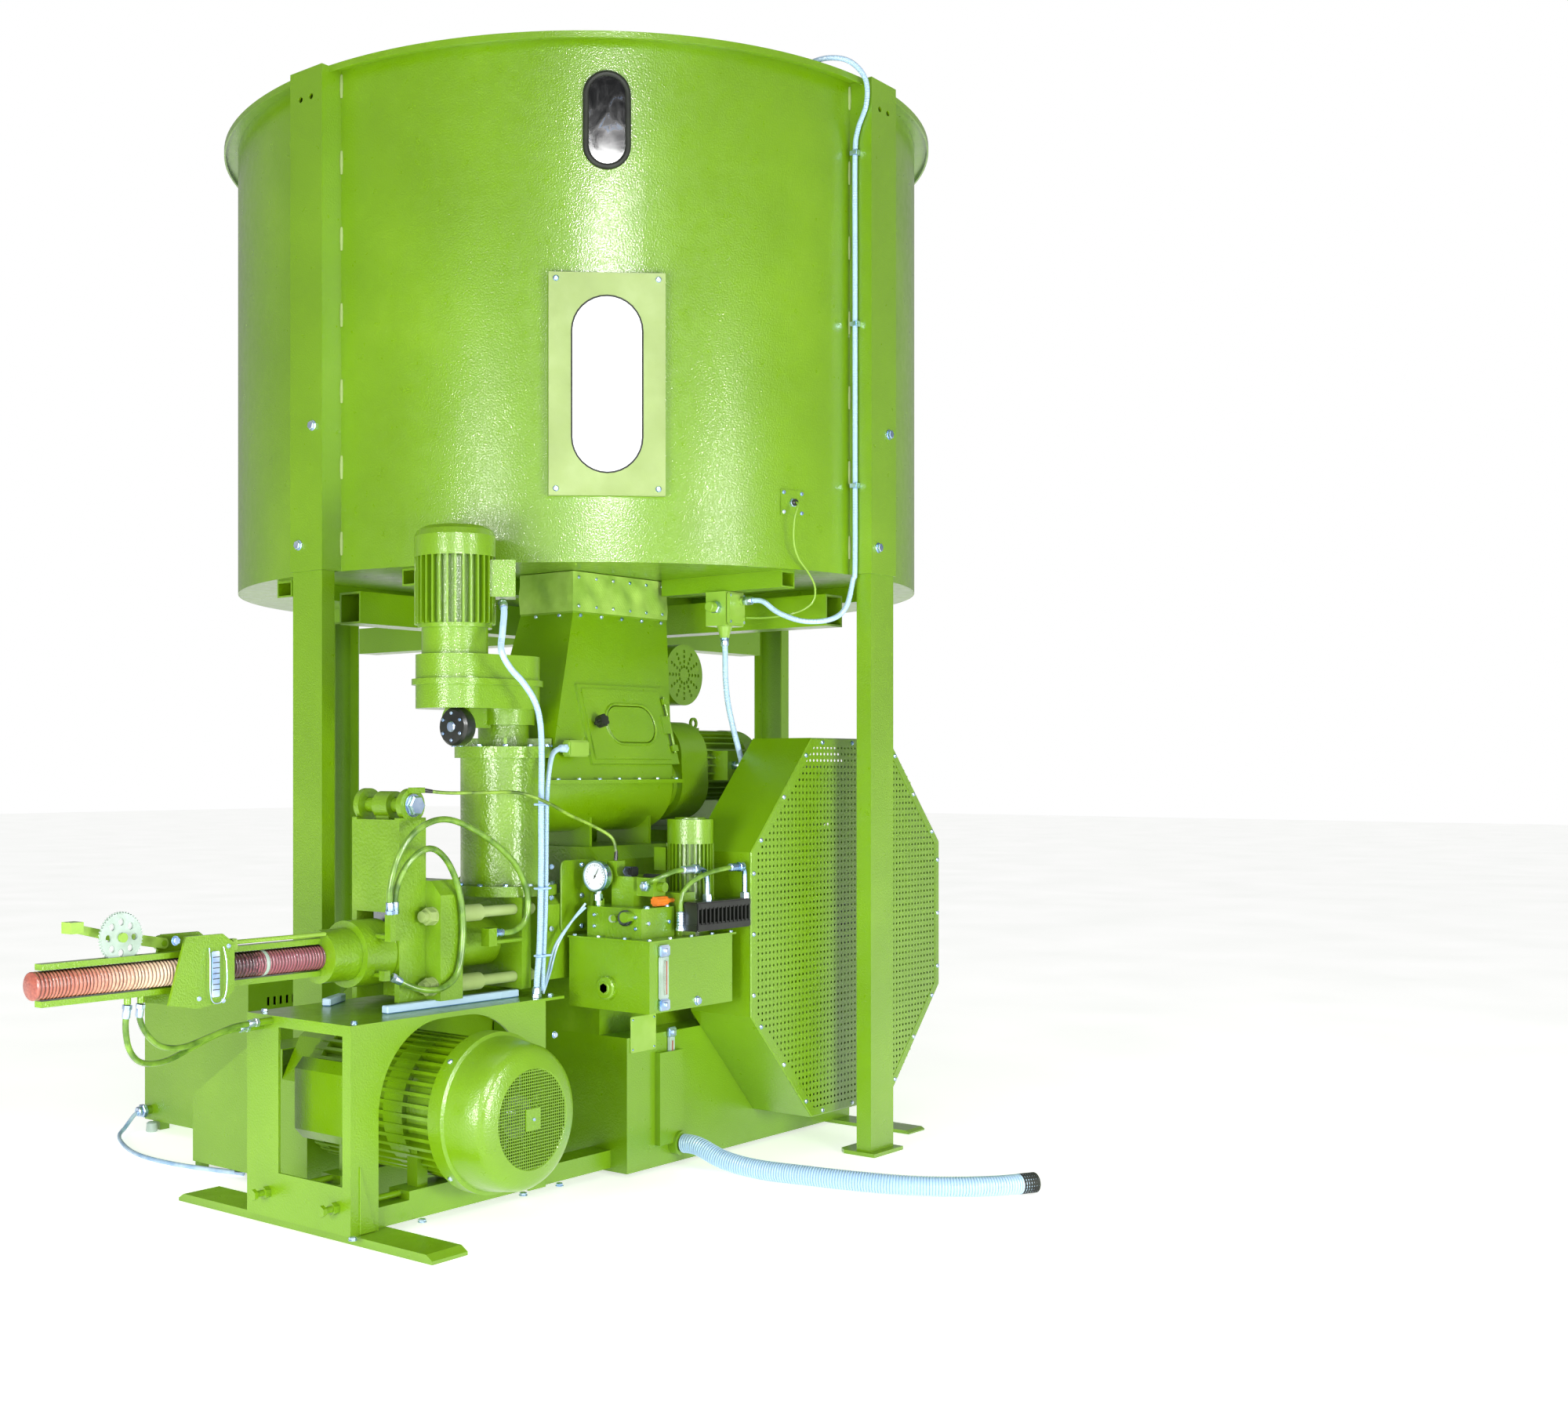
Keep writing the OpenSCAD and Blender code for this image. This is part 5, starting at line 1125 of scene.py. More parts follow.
@dataclass
class Cords:
    """The hoses and cables that hang or lie free."""

    finishes: Materials
    steps: int = 10
    rib_pitch: float = 0.0085
    rib_depth: float = 0.0035
    spiral_r: float = 0.030
    cuff_l: float = 0.058

    def smooth(
        self, name: str, node: str, route: Sequence[Point], radius: float, finish: str, ferrules: bool,
        stiffness: str,
    ) -> None:
        """Lay one smooth hose or cable in place of its CAD solid.

        Args:
            name: Name of the piece.
            node: CAD node that it stands for.
            route: Route in metres, as in the CAD source.
            radius: Outer radius.
            finish: Name of its finish.
            ferrules: Whether both ends have a crimped ferrule and a nut.
            stiffness: How stiff the real hose is; not used.
        """
        path = curve_through(route, self.steps)
        tube = Shape().sweep(path, radius, 14).make(name, self.finishes, finish)
        for index, (a, b) in enumerate(((path[0], path[2]), (path[-1], path[-3]))):
            way = (b - a).normalized()
            profile = FERRULE if ferrules else SHEATH_END
            part = Shape().lathe(a, way, [(k, radius * r) for k, r in profile], 20 if ferrules else 16)
            if ferrules:
                part.hexagon(tuple(a), way, radius * 1.55, 0.012)
            look = "zinc" if ferrules or finish == "pale_sheath" else "black"
            part.make(f"{name}_end_{index + 1}", self.finishes, look)
        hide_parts(node)

    def spiral(self) -> None:
        """Lay the corrugated hose that leaves the bed along the floor."""
        path = even_path(curve_through(SPIRAL_HOSE, 12), self.rib_pitch / 3)[:-1]
        depths = (0.0, 0.8, 1.0)
        tube = Shape().sweep(path, lambda i: self.spiral_r - self.rib_depth * (1 - depths[i % 3]), 18)
        hose = tube.make("spiral_hose_ribbed", self.finishes, "conduit", smooth=50)
        way = (path[-4] - path[-1]).normalized()
        r, length = self.spiral_r, self.cuff_l
        rings = [(0, r - 0.004), (0, r), (length - 0.003, r), (length, r - 0.003)]
        cuff = Shape().lathe(path[-1] + way * 0.001, way, rings, 28)
        end = cuff.make("spiral_hose_cuff", self.finishes, "gasket")
        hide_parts("spiral_hose")

    def build(self) -> None:
        """Lay every hose and cable."""
        self.smooth("clamp_pressure_hose", "clamp_hose", CLAMP_HOSE, 0.009, "hose", True, "stiff")
        self.smooth("head_pressure_hose", "head_hose", HEAD_HOSE, 0.009, "hose", True, "stiff")
        self.smooth("line_hose_front", "line_hose_1", LINE_HOSE_1, 0.008, "hose", True, "stiff")
        self.smooth("line_hose_back", "line_hose_2", LINE_HOSE_2, 0.008, "hose", True, "stiff")
        self.smooth("clamp_sensor_cable", "clamp_cable", CLAMP_CABLE, 0.005, "sheath", False, "medium")
        self.smooth("floor_supply_cable", "floor_cable", FLOOR_CABLE, 0.007, "pale_sheath", False, "medium")
        self.spiral()


@dataclass
class Silo:
    """Round silo: its window, its sight glass and the bolts of its legs."""

    finishes: Materials
    window_z: float = 2.439
    sight_z: float = 3.252
    bolt_m: float = 0.016
    leg_bolts: tuple[Flat, ...] = ((0.032, 2.357), (-0.035, 1.979))

    def window_side(self) -> Matrix:
        """Placement that turns +X to the windows' side."""
        return Matrix.Rotation(math.radians(-135), 4, "Z")

    def outline(self, width: float, height: float, x: float, z: float) -> list[Vector]:
        """Upright outline with round ends, standing on the windows' side.

        Args:
            width: Width of the outline.
            height: Its height.
            x: Distance from the silo's axis.
            z: Height of its middle.

        Returns:
            Points in order.
        """
        turn = self.window_side()
        return [turn @ Vector((x, a, z + b)) for a, b in stadium(width, height, 16)]

    def panes(self) -> None:
        """Glaze the long window and the sight glass above it."""
        way = self.window_side() @ Vector((1, 0, 0))
        line = self.outline(0.2205, 0.5445, SILO_R + 0.003, self.window_z)
        pane = Shape().prism(line, way, 0.008, 0.0015).make("window_pane_opal", self.finishes, "opal")
        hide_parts("window_glass")
        line = self.outline(0.219, 0.543, SILO_R + 0.0115, self.window_z)
        Shape().bead(line, way, 0.0028, 0.0022).make("window_gasket", self.finishes, "gasket")
        line = self.outline(0.118, 0.274, SILO_R - 0.006, self.sight_z)
        Shape().prism(line, way, 0.010, 0.002).make("sight_glass_smoked", self.finishes, "smoked")
        line = self.outline(0.130, 0.286, SILO_R + 0.001, self.sight_z)
        Shape().bead(line, way, 0.0095, 0.0105, 12).make("sight_glass_gasket", self.finishes, "gasket")

    def plate_screws(self) -> None:
        """Put the four screws in the window plate's corners."""
        turn = self.window_side()
        heads = Shape()
        for y in (-0.158, 0.158):
            for z in (-0.322, 0.322):
                at = turn @ Vector((SILO_R + 0.012, y, self.window_z + z))
                heads.lathe(at, turn @ Vector((1, 0, 0)), PAN_HEAD, 20)
        heads.make("window_plate_screws", self.finishes, "zinc")

    def bolts(self) -> None:
        """Bolt each leg into its sleeve and each foot to the floor."""
        heads = Shape()
        for quarter in range(4):
            turn = Matrix.Rotation(math.radians(90 * quarter), 4, "Z")
            out = turn @ Vector((1, 0, 0))
            for k, (y, z) in enumerate(self.leg_bolts):
                at = turn @ Vector((LEG_R + 0.006, y, z))
                heads.bolt(tuple(at), out, self.bolt_m, 0.3 + k)
            foot = turn @ Vector((LEG_R - 0.034, 0, 0.012))
            heads.bolt(tuple(foot), Way.PZ.vector, 0.014, 0.2)
        heads.make("leg_bolts", self.finishes, "zinc")

    def build(self) -> None:
        """Build the silo's added pieces."""
        self.panes()
        self.plate_screws()
        self.bolts()


# Routes of the conduits, the same as in the CAD source.
SILO_CONDUIT: list[Point] = [
    (-0.260, -1.180, 3.447), (-0.255, -1.195, 3.517), (-0.225, -1.250, 3.541), (-0.165, -1.300, 3.537),
    (-0.108, -1.325, 3.492), (-0.088, -1.318, 3.417), (-0.088, -1.285, 3.337), (-0.088, -1.275, 3.247),
    (-0.088, -1.275, 2.894), (-0.088, -1.275, 2.394), (-0.088, -1.275, 1.934), (-0.092, -1.270, 1.876),
    (-0.122, -1.262, 1.784), (-0.193, -1.250, 1.741), (-0.260, -1.190, 1.734), (-0.285, -1.110, 1.764),
    (-0.285, -1.050, 1.804), (-0.285, -1.010, 1.810), (-0.285, -0.976, 1.810),
]
FEEDER_CONDUIT: list[Point] = [
    (-1.192, -0.729, 1.762), (-1.215, -0.760, 1.730), (-1.275, -0.810, 1.665), (-1.318, -0.845, 1.602),
    (-1.290, -0.855, 1.552), (-1.237, -0.855, 1.514), (-1.185, -0.855, 1.460), (-1.160, -0.855, 1.397),
    (-1.150, -0.852, 1.302), (-1.150, -0.850, 1.142), (-1.150, -0.850, 0.972), (-1.156, -0.850, 0.752),
    (-1.168, -0.850, 0.640), (-1.170, -0.850, 0.598),
]
TROUGH_CONDUIT: list[Point] = [
    (-0.305, -0.910, 1.689), (-0.305, -0.912, 1.644), (-0.300, -0.910, 1.560), (-0.280, -0.905, 1.480),
    (-0.245, -0.900, 1.400), (-0.200, -0.890, 1.330), (-0.160, -0.875, 1.285), (-0.135, -0.855, 1.272),
    (-0.129, -0.840, 1.270), (-0.129, -0.821, 1.270),
]


@dataclass
class Conduits:
    """Corrugated conduits of the silo, the feeder and the screw motor."""

    finishes: Materials
    pitch: float = 0.0052
    depth: float = 0.0016

    def ribbed(self, part: Shape, route: Sequence[Point], radius: float, sides: int = 12) -> None:
        """Add one corrugated tube to a shape.

        Args:
            part: Shape that takes the tube.
            route: Route in metres, as in the CAD source.
            radius: Radius over the ribs.
            sides: Number of sides.
        """
        path = even_path(curve_through(route, 8), self.pitch / 2)
        part.sweep(path, lambda i: radius - (self.depth if i % 2 else 0.0), sides)

    def build(self) -> None:
        """Build the conduits with their glands and clips."""
        tubes = Shape()
        self.ribbed(tubes, SILO_CONDUIT, 0.009)
        self.ribbed(tubes, FEEDER_CONDUIT, 0.010)
        self.ribbed(tubes, TROUGH_CONDUIT, 0.010)
        piece = tubes.make("corrugated_conduits", self.finishes, "conduit", smooth=60)
        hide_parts("conduits")
        glands = Shape()
        for point, way in (
            ((-0.285, -0.978, 1.810), (0, -1, 0)),
            ((-1.196, -0.735, 1.758), (-0.5, -0.7, -0.7)),
            ((-1.170, -0.850, 0.581), (0, 0, 1)),
            ((-0.129, -0.821, 1.270), (0, -1, 0)),
            ((-0.305, -0.910, 1.694), (0, 0, -1)),
        ):
            way_v = Vector(way).normalized()
            glands.hexagon(point, way_v, 0.015, 0.012)
            glands.lathe(
                Vector(point) + way_v * 0.012, way_v, [(0, 0.0135), (0.014, 0.0135), (0.019, 0.0105)], 20
            )
        for z in (2.172, 2.699, 3.256):
            glands.block((-0.100, -1.288, z), (-0.0765, -1.2855, z + 0.018), 0.001)
            glands.loop((-0.088, -1.275, z + 0.009), Way.PZ.vector, 0.0108, 0.0018, 20, 6)
            glands.block((-0.1005, -1.2875, z + 0.002), (-0.0935, -1.262, z + 0.016), 0.001)
        glands.make("conduit_glands", self.finishes, "zinc")


@dataclass
class FlywheelGuard:
    """Octagonal guard of perforated sheet over the plain flywheel."""

    finishes: Materials
    side: float = 0.589
    height: float = 0.620
    corner: float = 0.415
    front_y: float = -1.163
    back_y: float = -0.930
    pitch: float = 0.021
    hole_r: float = 0.0046
    frame_w: float = 0.030
    sheet: float = 0.0024

    def octagon(self, inset: float, y: float) -> list[Vector]:
        """Corners of the octagon, moved in by an amount.

        Args:
            inset: Distance from the guard's edge.
            y: Place along Y.

        Returns:
            Eight points in order.
        """
        dx, dz = self.side * self.corner, self.height * self.corner
        s, h = self.side - inset, self.height - inset
        cut = inset * 0.41
        flat = [
            (-s, -dz + cut), (-s, dz - cut), (-dx + cut, h), (dx - cut, h),
            (s, dz - cut), (s, -dz + cut), (dx - cut, -h), (-dx + cut, -h),
        ]
        return [Vector((CRANK_X + x, y, LINE_Z + z)) for x, z in flat]

    def inside(self, x: float, z: float, inset: float) -> bool:
        """Whether a point of the face lies inside the inset octagon.

        Args:
            x: Place along X.
            z: Height.
            inset: Distance from the guard's edge.

        Returns:
            True when the point lies inside.
        """
        pts = self.octagon(inset, 0.0)
        for a, b in zip(pts, pts[1:] + pts[:1]):
            if (b.x - a.x) * (z - a.z) - (b.z - a.z) * (x - a.x) > 0:
                return False
        return True

    def perforated(self, part: Shape) -> None:
        """Add the sheet with its round holes, a hexagon each.

        Args:
            part: Shape that takes the sheet.
        """
        verts: dict[tuple[int, int], Any] = {}
        half = self.pitch / 2
        count = int(self.height / self.pitch) + 1

        def at(i: int, k: int) -> Any:
            """Vertex on the half-pitch grid, made once.

            Args:
                i: Half pitches along X.
                k: Half pitches upwards.

            Returns:
                The vertex.
            """
            if (i, k) not in verts:
                place = (CRANK_X + i * half, self.front_y + self.sheet / 2, LINE_Z + k * half)
                verts[(i, k)] = part.bm.verts.new(place)
            return verts[(i, k)]

        for i in range(-count, count + 1):
            for k in range(-count, count + 1):
                x, z = CRANK_X + i * self.pitch, LINE_Z + k * self.pitch
                if not self.inside(x, z, 0.012):
                    continue
                a, b = 2 * i, 2 * k
                outer = [
                    at(a + 1, b), at(a + 1, b + 1), at(a - 1, b + 1), at(a - 1, b), at(a - 1, b - 1),
                    at(a + 1, b - 1),
                ]
                hole = round_about(self.hole_r, 6)
                ring = [part.bm.verts.new((x + dx, self.front_y + self.sheet / 2, z + dz)) for dx, dz in hole]
                for n in range(6):
                    m = (n + 1) % 6
                    part.bm.faces.new([ring[n], outer[n], outer[m], ring[m]])

    def build(self) -> None:
        """Build the guard's perforated sheet and its rim."""
        shell = Shape()
        self.perforated(shell)
        y = self.front_y
        for inner, outer, depth in (
            ((self.frame_w, y), (0.004, y), 0.0025),
            ((0.004, y), (0.0, y + 0.004), 0.001),
            ((0.003, y + 0.003), (0.0, y + 0.003), self.back_y - y - 0.003),
        ):
            shell.band(self.octagon(*inner), self.octagon(*outer), Way.PY.vector, depth)
        piece = shell.make("guard_of_perforated_sheet", self.finishes, "green", smooth=25)
        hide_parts("flywheel_guard")


@dataclass
class Motor:
    """Main motor: its fan cowl with the grille, the centre plate and the screws."""

    finishes: Materials
    cowl_y: float = -1.132
    cowl_r: float = 0.225
    cowl_l: float = 0.182
    wall: float = 0.004
    grille_r: float = 0.139
    pitch: float = 0.0085
    opening: float = 0.0055
    sides: int = 96

    def cowl(self) -> None:
        """Build the cowl with its square-holed grille."""
        part = Shape()
        outer = [
            (0.0, self.grille_r), (0.006, 0.165), (0.012, 0.180), (0.020, 0.191), (0.036, 0.201),
            (0.080, 0.2075), (0.130, 0.215), (0.134, self.cowl_r), (self.cowl_l, self.cowl_r),
        ]
        inner = [
            (along + (self.wall if index < 4 else 0), radius - self.wall)
            for index, (along, radius) in enumerate(outer)
        ]
        place = Matrix.Translation((MOTOR_X, self.cowl_y, MOTOR_Z)) @ frame_of(Way.PY.vector)
        rows = []
        for along, radius in outer + inner[::-1]:
            ring = [place @ Vector((x, z, along)) for x, z in round_about(radius, self.sides)]
            rows.append([part.bm.verts.new(p) for p in ring])
        part.skin(rows + rows[:1])
        self.grille(part)
        piece = part.make("fan_cowl_with_grille", self.finishes, "green", smooth=28)
        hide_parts("motor_cowl")

    def grille(self, part: Shape) -> None:
        """Add the pressed grille: bars that cross, and a plain rim.

        Args:
            part: Shape that takes the grille.
        """
        half = (self.pitch - self.opening) / 2
        count = int(self.grille_r / self.pitch) + 1
        for i in range(-count, count + 1):
            off = (i + 0.5) * self.pitch
            if abs(off) > self.grille_r - 0.004:
                continue
            reach = math.sqrt((self.grille_r + 0.002) ** 2 - off * off)
            y0, y1 = self.cowl_y + 0.0008, self.cowl_y + 0.0038
            low, high = (MOTOR_X + off - half, y0, MOTOR_Z - reach), (
                MOTOR_X + off + half, y1, MOTOR_Z + reach
            )
            part.block(low, high, 0.0006)
            low = (MOTOR_X - reach, y0 + 0.0002, MOTOR_Z + off - half)
            part.block(low, (MOTOR_X + reach, y1 - 0.0002, MOTOR_Z + off + half), 0.0006)

    def trim(self) -> None:
        """Add the grille's centre plate and the cowl's screws."""
        plate = Shape().block(
            (MOTOR_X - 0.03, self.cowl_y - 0.0015, MOTOR_Z - 0.03),
            (MOTOR_X + 0.03, self.cowl_y + 0.001, MOTOR_Z + 0.03), 0.0006,
        )
        plate.make("grille_centre_plate", self.finishes, "green")
        screws = Shape().socket_screw((MOTOR_X, self.cowl_y - 0.0015, MOTOR_Z), Way.NY.vector, 0.006)
        for quarter in range(4):
            turn = math.radians(45 + 90 * quarter)
            out = Vector((math.cos(turn), 0, math.sin(turn)))
            at = Vector((MOTOR_X, self.cowl_y + 0.16, MOTOR_Z)) + out * (self.cowl_r - 0.001)
            screws.lathe(at, out, COWL_HEAD, 16)
        screws.make("cowl_screws", self.finishes, "zinc")

    def build(self) -> None:
        """Build the motor's added pieces."""
        self.cowl()
        self.trim()


@dataclass
class Outfeed:
    """Strand of pressed waste between the rails, with the rails' scale and rod."""

    finishes: Materials
    start_x: float = -2.758
    end_x: float = -1.205
    ring: float = 0.0108
    groove: float = 0.0042
    radius: float = 0.035
    ridges_l: float = 0.905
    sides: int = 44
    band_x: float = -2.060

    def strand(self) -> None:
        """Build the strand with a rounded ridge for each stroke of the ram."""
        rng = random.Random(7)
        profile: list[Flat] = [(0.0, 0.0), (0.0, self.radius - 0.005)]
        along = 0.001
        length = self.end_x - self.start_x
        while along < self.ridges_l:
            step = self.ring * rng.uniform(0.85, 1.15)
            low = self.radius - self.groove * rng.uniform(0.7, 1.2)
            for t, lift in ((0.0, 0.0), (0.16, 0.7), (0.36, 1.0), (0.64, 1.0), (0.86, 0.6)):
                profile.append((along + step * t, low + (self.radius - 0.0001 - low) * lift))
            along += step
        profile += [(length, self.radius - 0.0002), (length, 0.0)]
        part = Shape().lathe((self.start_x, LINE_Y, LINE_Z), Way.PX.vector, profile, self.sides)
        piece = part.make("strand_of_pressed_waste", self.finishes, "waste", smooth=60)
        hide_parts("briquette_strand")
        band = [(0, 0.0346), (0.002, 0.0351), (0.010, 0.0351), (0.012, 0.0346)]
        paper = Shape().lathe((self.band_x, LINE_Y, LINE_Z), Way.PX.vector, band, self.sides)
        paper.make("strand_paper_band", self.finishes, "white")

    def fixings(self) -> None:
        """Add the scale strip with its lines, its wire clip, the bolts and the spring rod."""
        y = LINE_Y - 0.0545
        strip = Shape().block((-2.262, y - 0.005, 0.672), (-2.236, y, 0.790), 0.002)
        strip.make("scale_strip", self.finishes, "zinc")
        wire = [
            (-2.272, y - 0.006, 0.800), (-2.275, y - 0.014, 0.760), (-2.275, y - 0.014, 0.690),
            (-2.262, y - 0.010, 0.660), (-2.236, y - 0.010, 0.660), (-2.223, y - 0.014, 0.690),
            (-2.223, y - 0.014, 0.760), (-2.226, y - 0.006, 0.800),
        ]
        clip = Shape().sweep(curve_through(wire, 6), 0.0016, 10)
        clip.bolt((-2.375, LINE_Y - 0.055, 0.826), Way.NY.vector, 0.012)
        for x, z in ((-2.205, 0.800), (-2.300, 0.672), (-2.222, 0.660)):
            clip.bolt((x, LINE_Y - 0.054, z), Way.NY.vector, 0.006, x)
        clip.make("scale_clip_and_bolts", self.finishes, "zinc")
        rod = Shape().bar((-2.170, LINE_Y - 0.035, 0.806), Way.PX.vector, 0.006, 0.315, 0.002, 18)
        rod.block((-2.185, LINE_Y - 0.045, 0.786), (-2.165, LINE_Y - 0.025, 0.816), 0.003)
        rod.make("rail_spring_rod", self.finishes, "light")
        lines = Shape()
        for k in range(7):
            up = 0.014 * k
            lines.block((-2.2600, y - 0.0062, 0.690 + up), (-2.2380, y - 0.0050, 0.692 + up), 0.0002)
        lines.make("scale_strip_lines", self.finishes, "black")

    def build(self) -> None:
        """Build the outfeed's added pieces."""
        self.strand()
        self.fixings()


@dataclass
class Chute:
    """Cloth sleeve between the silo's outlet and the chute."""

    finishes: Materials
    x0: float = -0.7785
    x1: float = -0.2895
    y0: float = -0.6565
    y1: float = -0.4285
    low: float = 1.764
    high: float = 1.892
    stitch: float = 0.012
    rows: int = 22
    on_side: float = 0.001
    bulge: float = 0.0030
    fine_ripple: float = 0.0022
    broad_ripple: float = 0.0030
    clear: float = 0.0012

    def around(self) -> list[tuple[Vector, Vector]]:
        """Places round the sleeve, each with the way that its side faces.

        Returns:
            Pairs of a place and the way that it faces.
        """
        corners = [(self.x0, self.y0), (self.x1, self.y0), (self.x1, self.y1), (self.x0, self.y1)]
        centre = Vector(((self.x0 + self.x1) / 2, (self.y0 + self.y1) / 2))
        reach = (abs(self.x1 - self.x0) / 2 - self.on_side, abs(self.y1 - self.y0) / 2 - self.on_side)
        places = []
        for (ax, ay), (bx, by) in zip(corners, corners[1:] + corners[:1]):
            run = Vector((bx - ax, by - ay))
            count = max(8, int(run.length / self.stitch))
            for k in range(count):
                at = Vector((ax, ay)) + run * (k / count)
                away = at - centre
                out = Vector([math.copysign(1, a) if abs(a) > r else 0 for a, r in zip(away, reach)])
                places.append((at, out.normalized()))
        return places

    def sleeve(self) -> None:
        """Make the sleeve between the silo outlet and the chute, slack and rippled."""
        rng = random.Random(3)
        phases = [rng.uniform(0, 6.28) for _ in range(2)]
        places = self.around()
        mesh = Shape()
        rows: list[list[Any]] = []
        for j in range(self.rows + 1):
            t = j / self.rows
            slack = math.sin(math.pi * t)
            row = []
            for i, (at, out) in enumerate(places):
                s = i * self.stitch
                fine = math.sin(s * 70 + phases[0] + t * 4) * self.fine_ripple
                broad = math.sin(s * 33 + phases[1] + t * 7) * self.broad_ripple
                q = at + out * (slack * (self.bulge + (fine + broad)) + self.clear)
                row.append(mesh.bm.verts.new((q.x, q.y, self.low + (self.high - self.low) * j / self.rows)))
            rows.append(row)
        mesh.skin(rows)
        piece = mesh.make("outlet_sleeve_cloth", self.finishes, "cloth", smooth=60)
        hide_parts("chute_cuff")

    def build(self) -> None:
        """Build the chute's added pieces."""
        self.sleeve()


# Routes of the pump's bent pipes and short hoses.
PUMP_PIPES: list[list[Point]] = [
    [
        (-0.744, -1.115, 0.953), (-0.715, -1.115, 0.953), (-0.694, -1.115, 0.944),
        (-0.682, -1.115, 0.920), (-0.680, -1.115, 0.856),
    ],
    [
        (-0.558, -1.150, 0.954), (-0.545, -1.150, 0.953), (-0.534, -1.150, 0.940),
        (-0.531, -1.150, 0.915), (-0.531, -1.150, 0.856),
    ],
]
PUMP_HOSES: list[list[Point]] = [
    [
        (-0.880, -1.040, 0.912), (-0.905, -1.075, 0.922), (-0.885, -1.105, 0.938),
        (-0.850, -1.115, 0.950), (-0.807, -1.115, 0.953),
    ],
    [
        (-0.806, -1.108, 0.828), (-0.806, -1.110, 0.862), (-0.795, -1.114, 0.890),
        (-0.760, -1.122, 0.918), (-0.690, -1.135, 0.942), (-0.612, -1.150, 0.954),
    ],
]


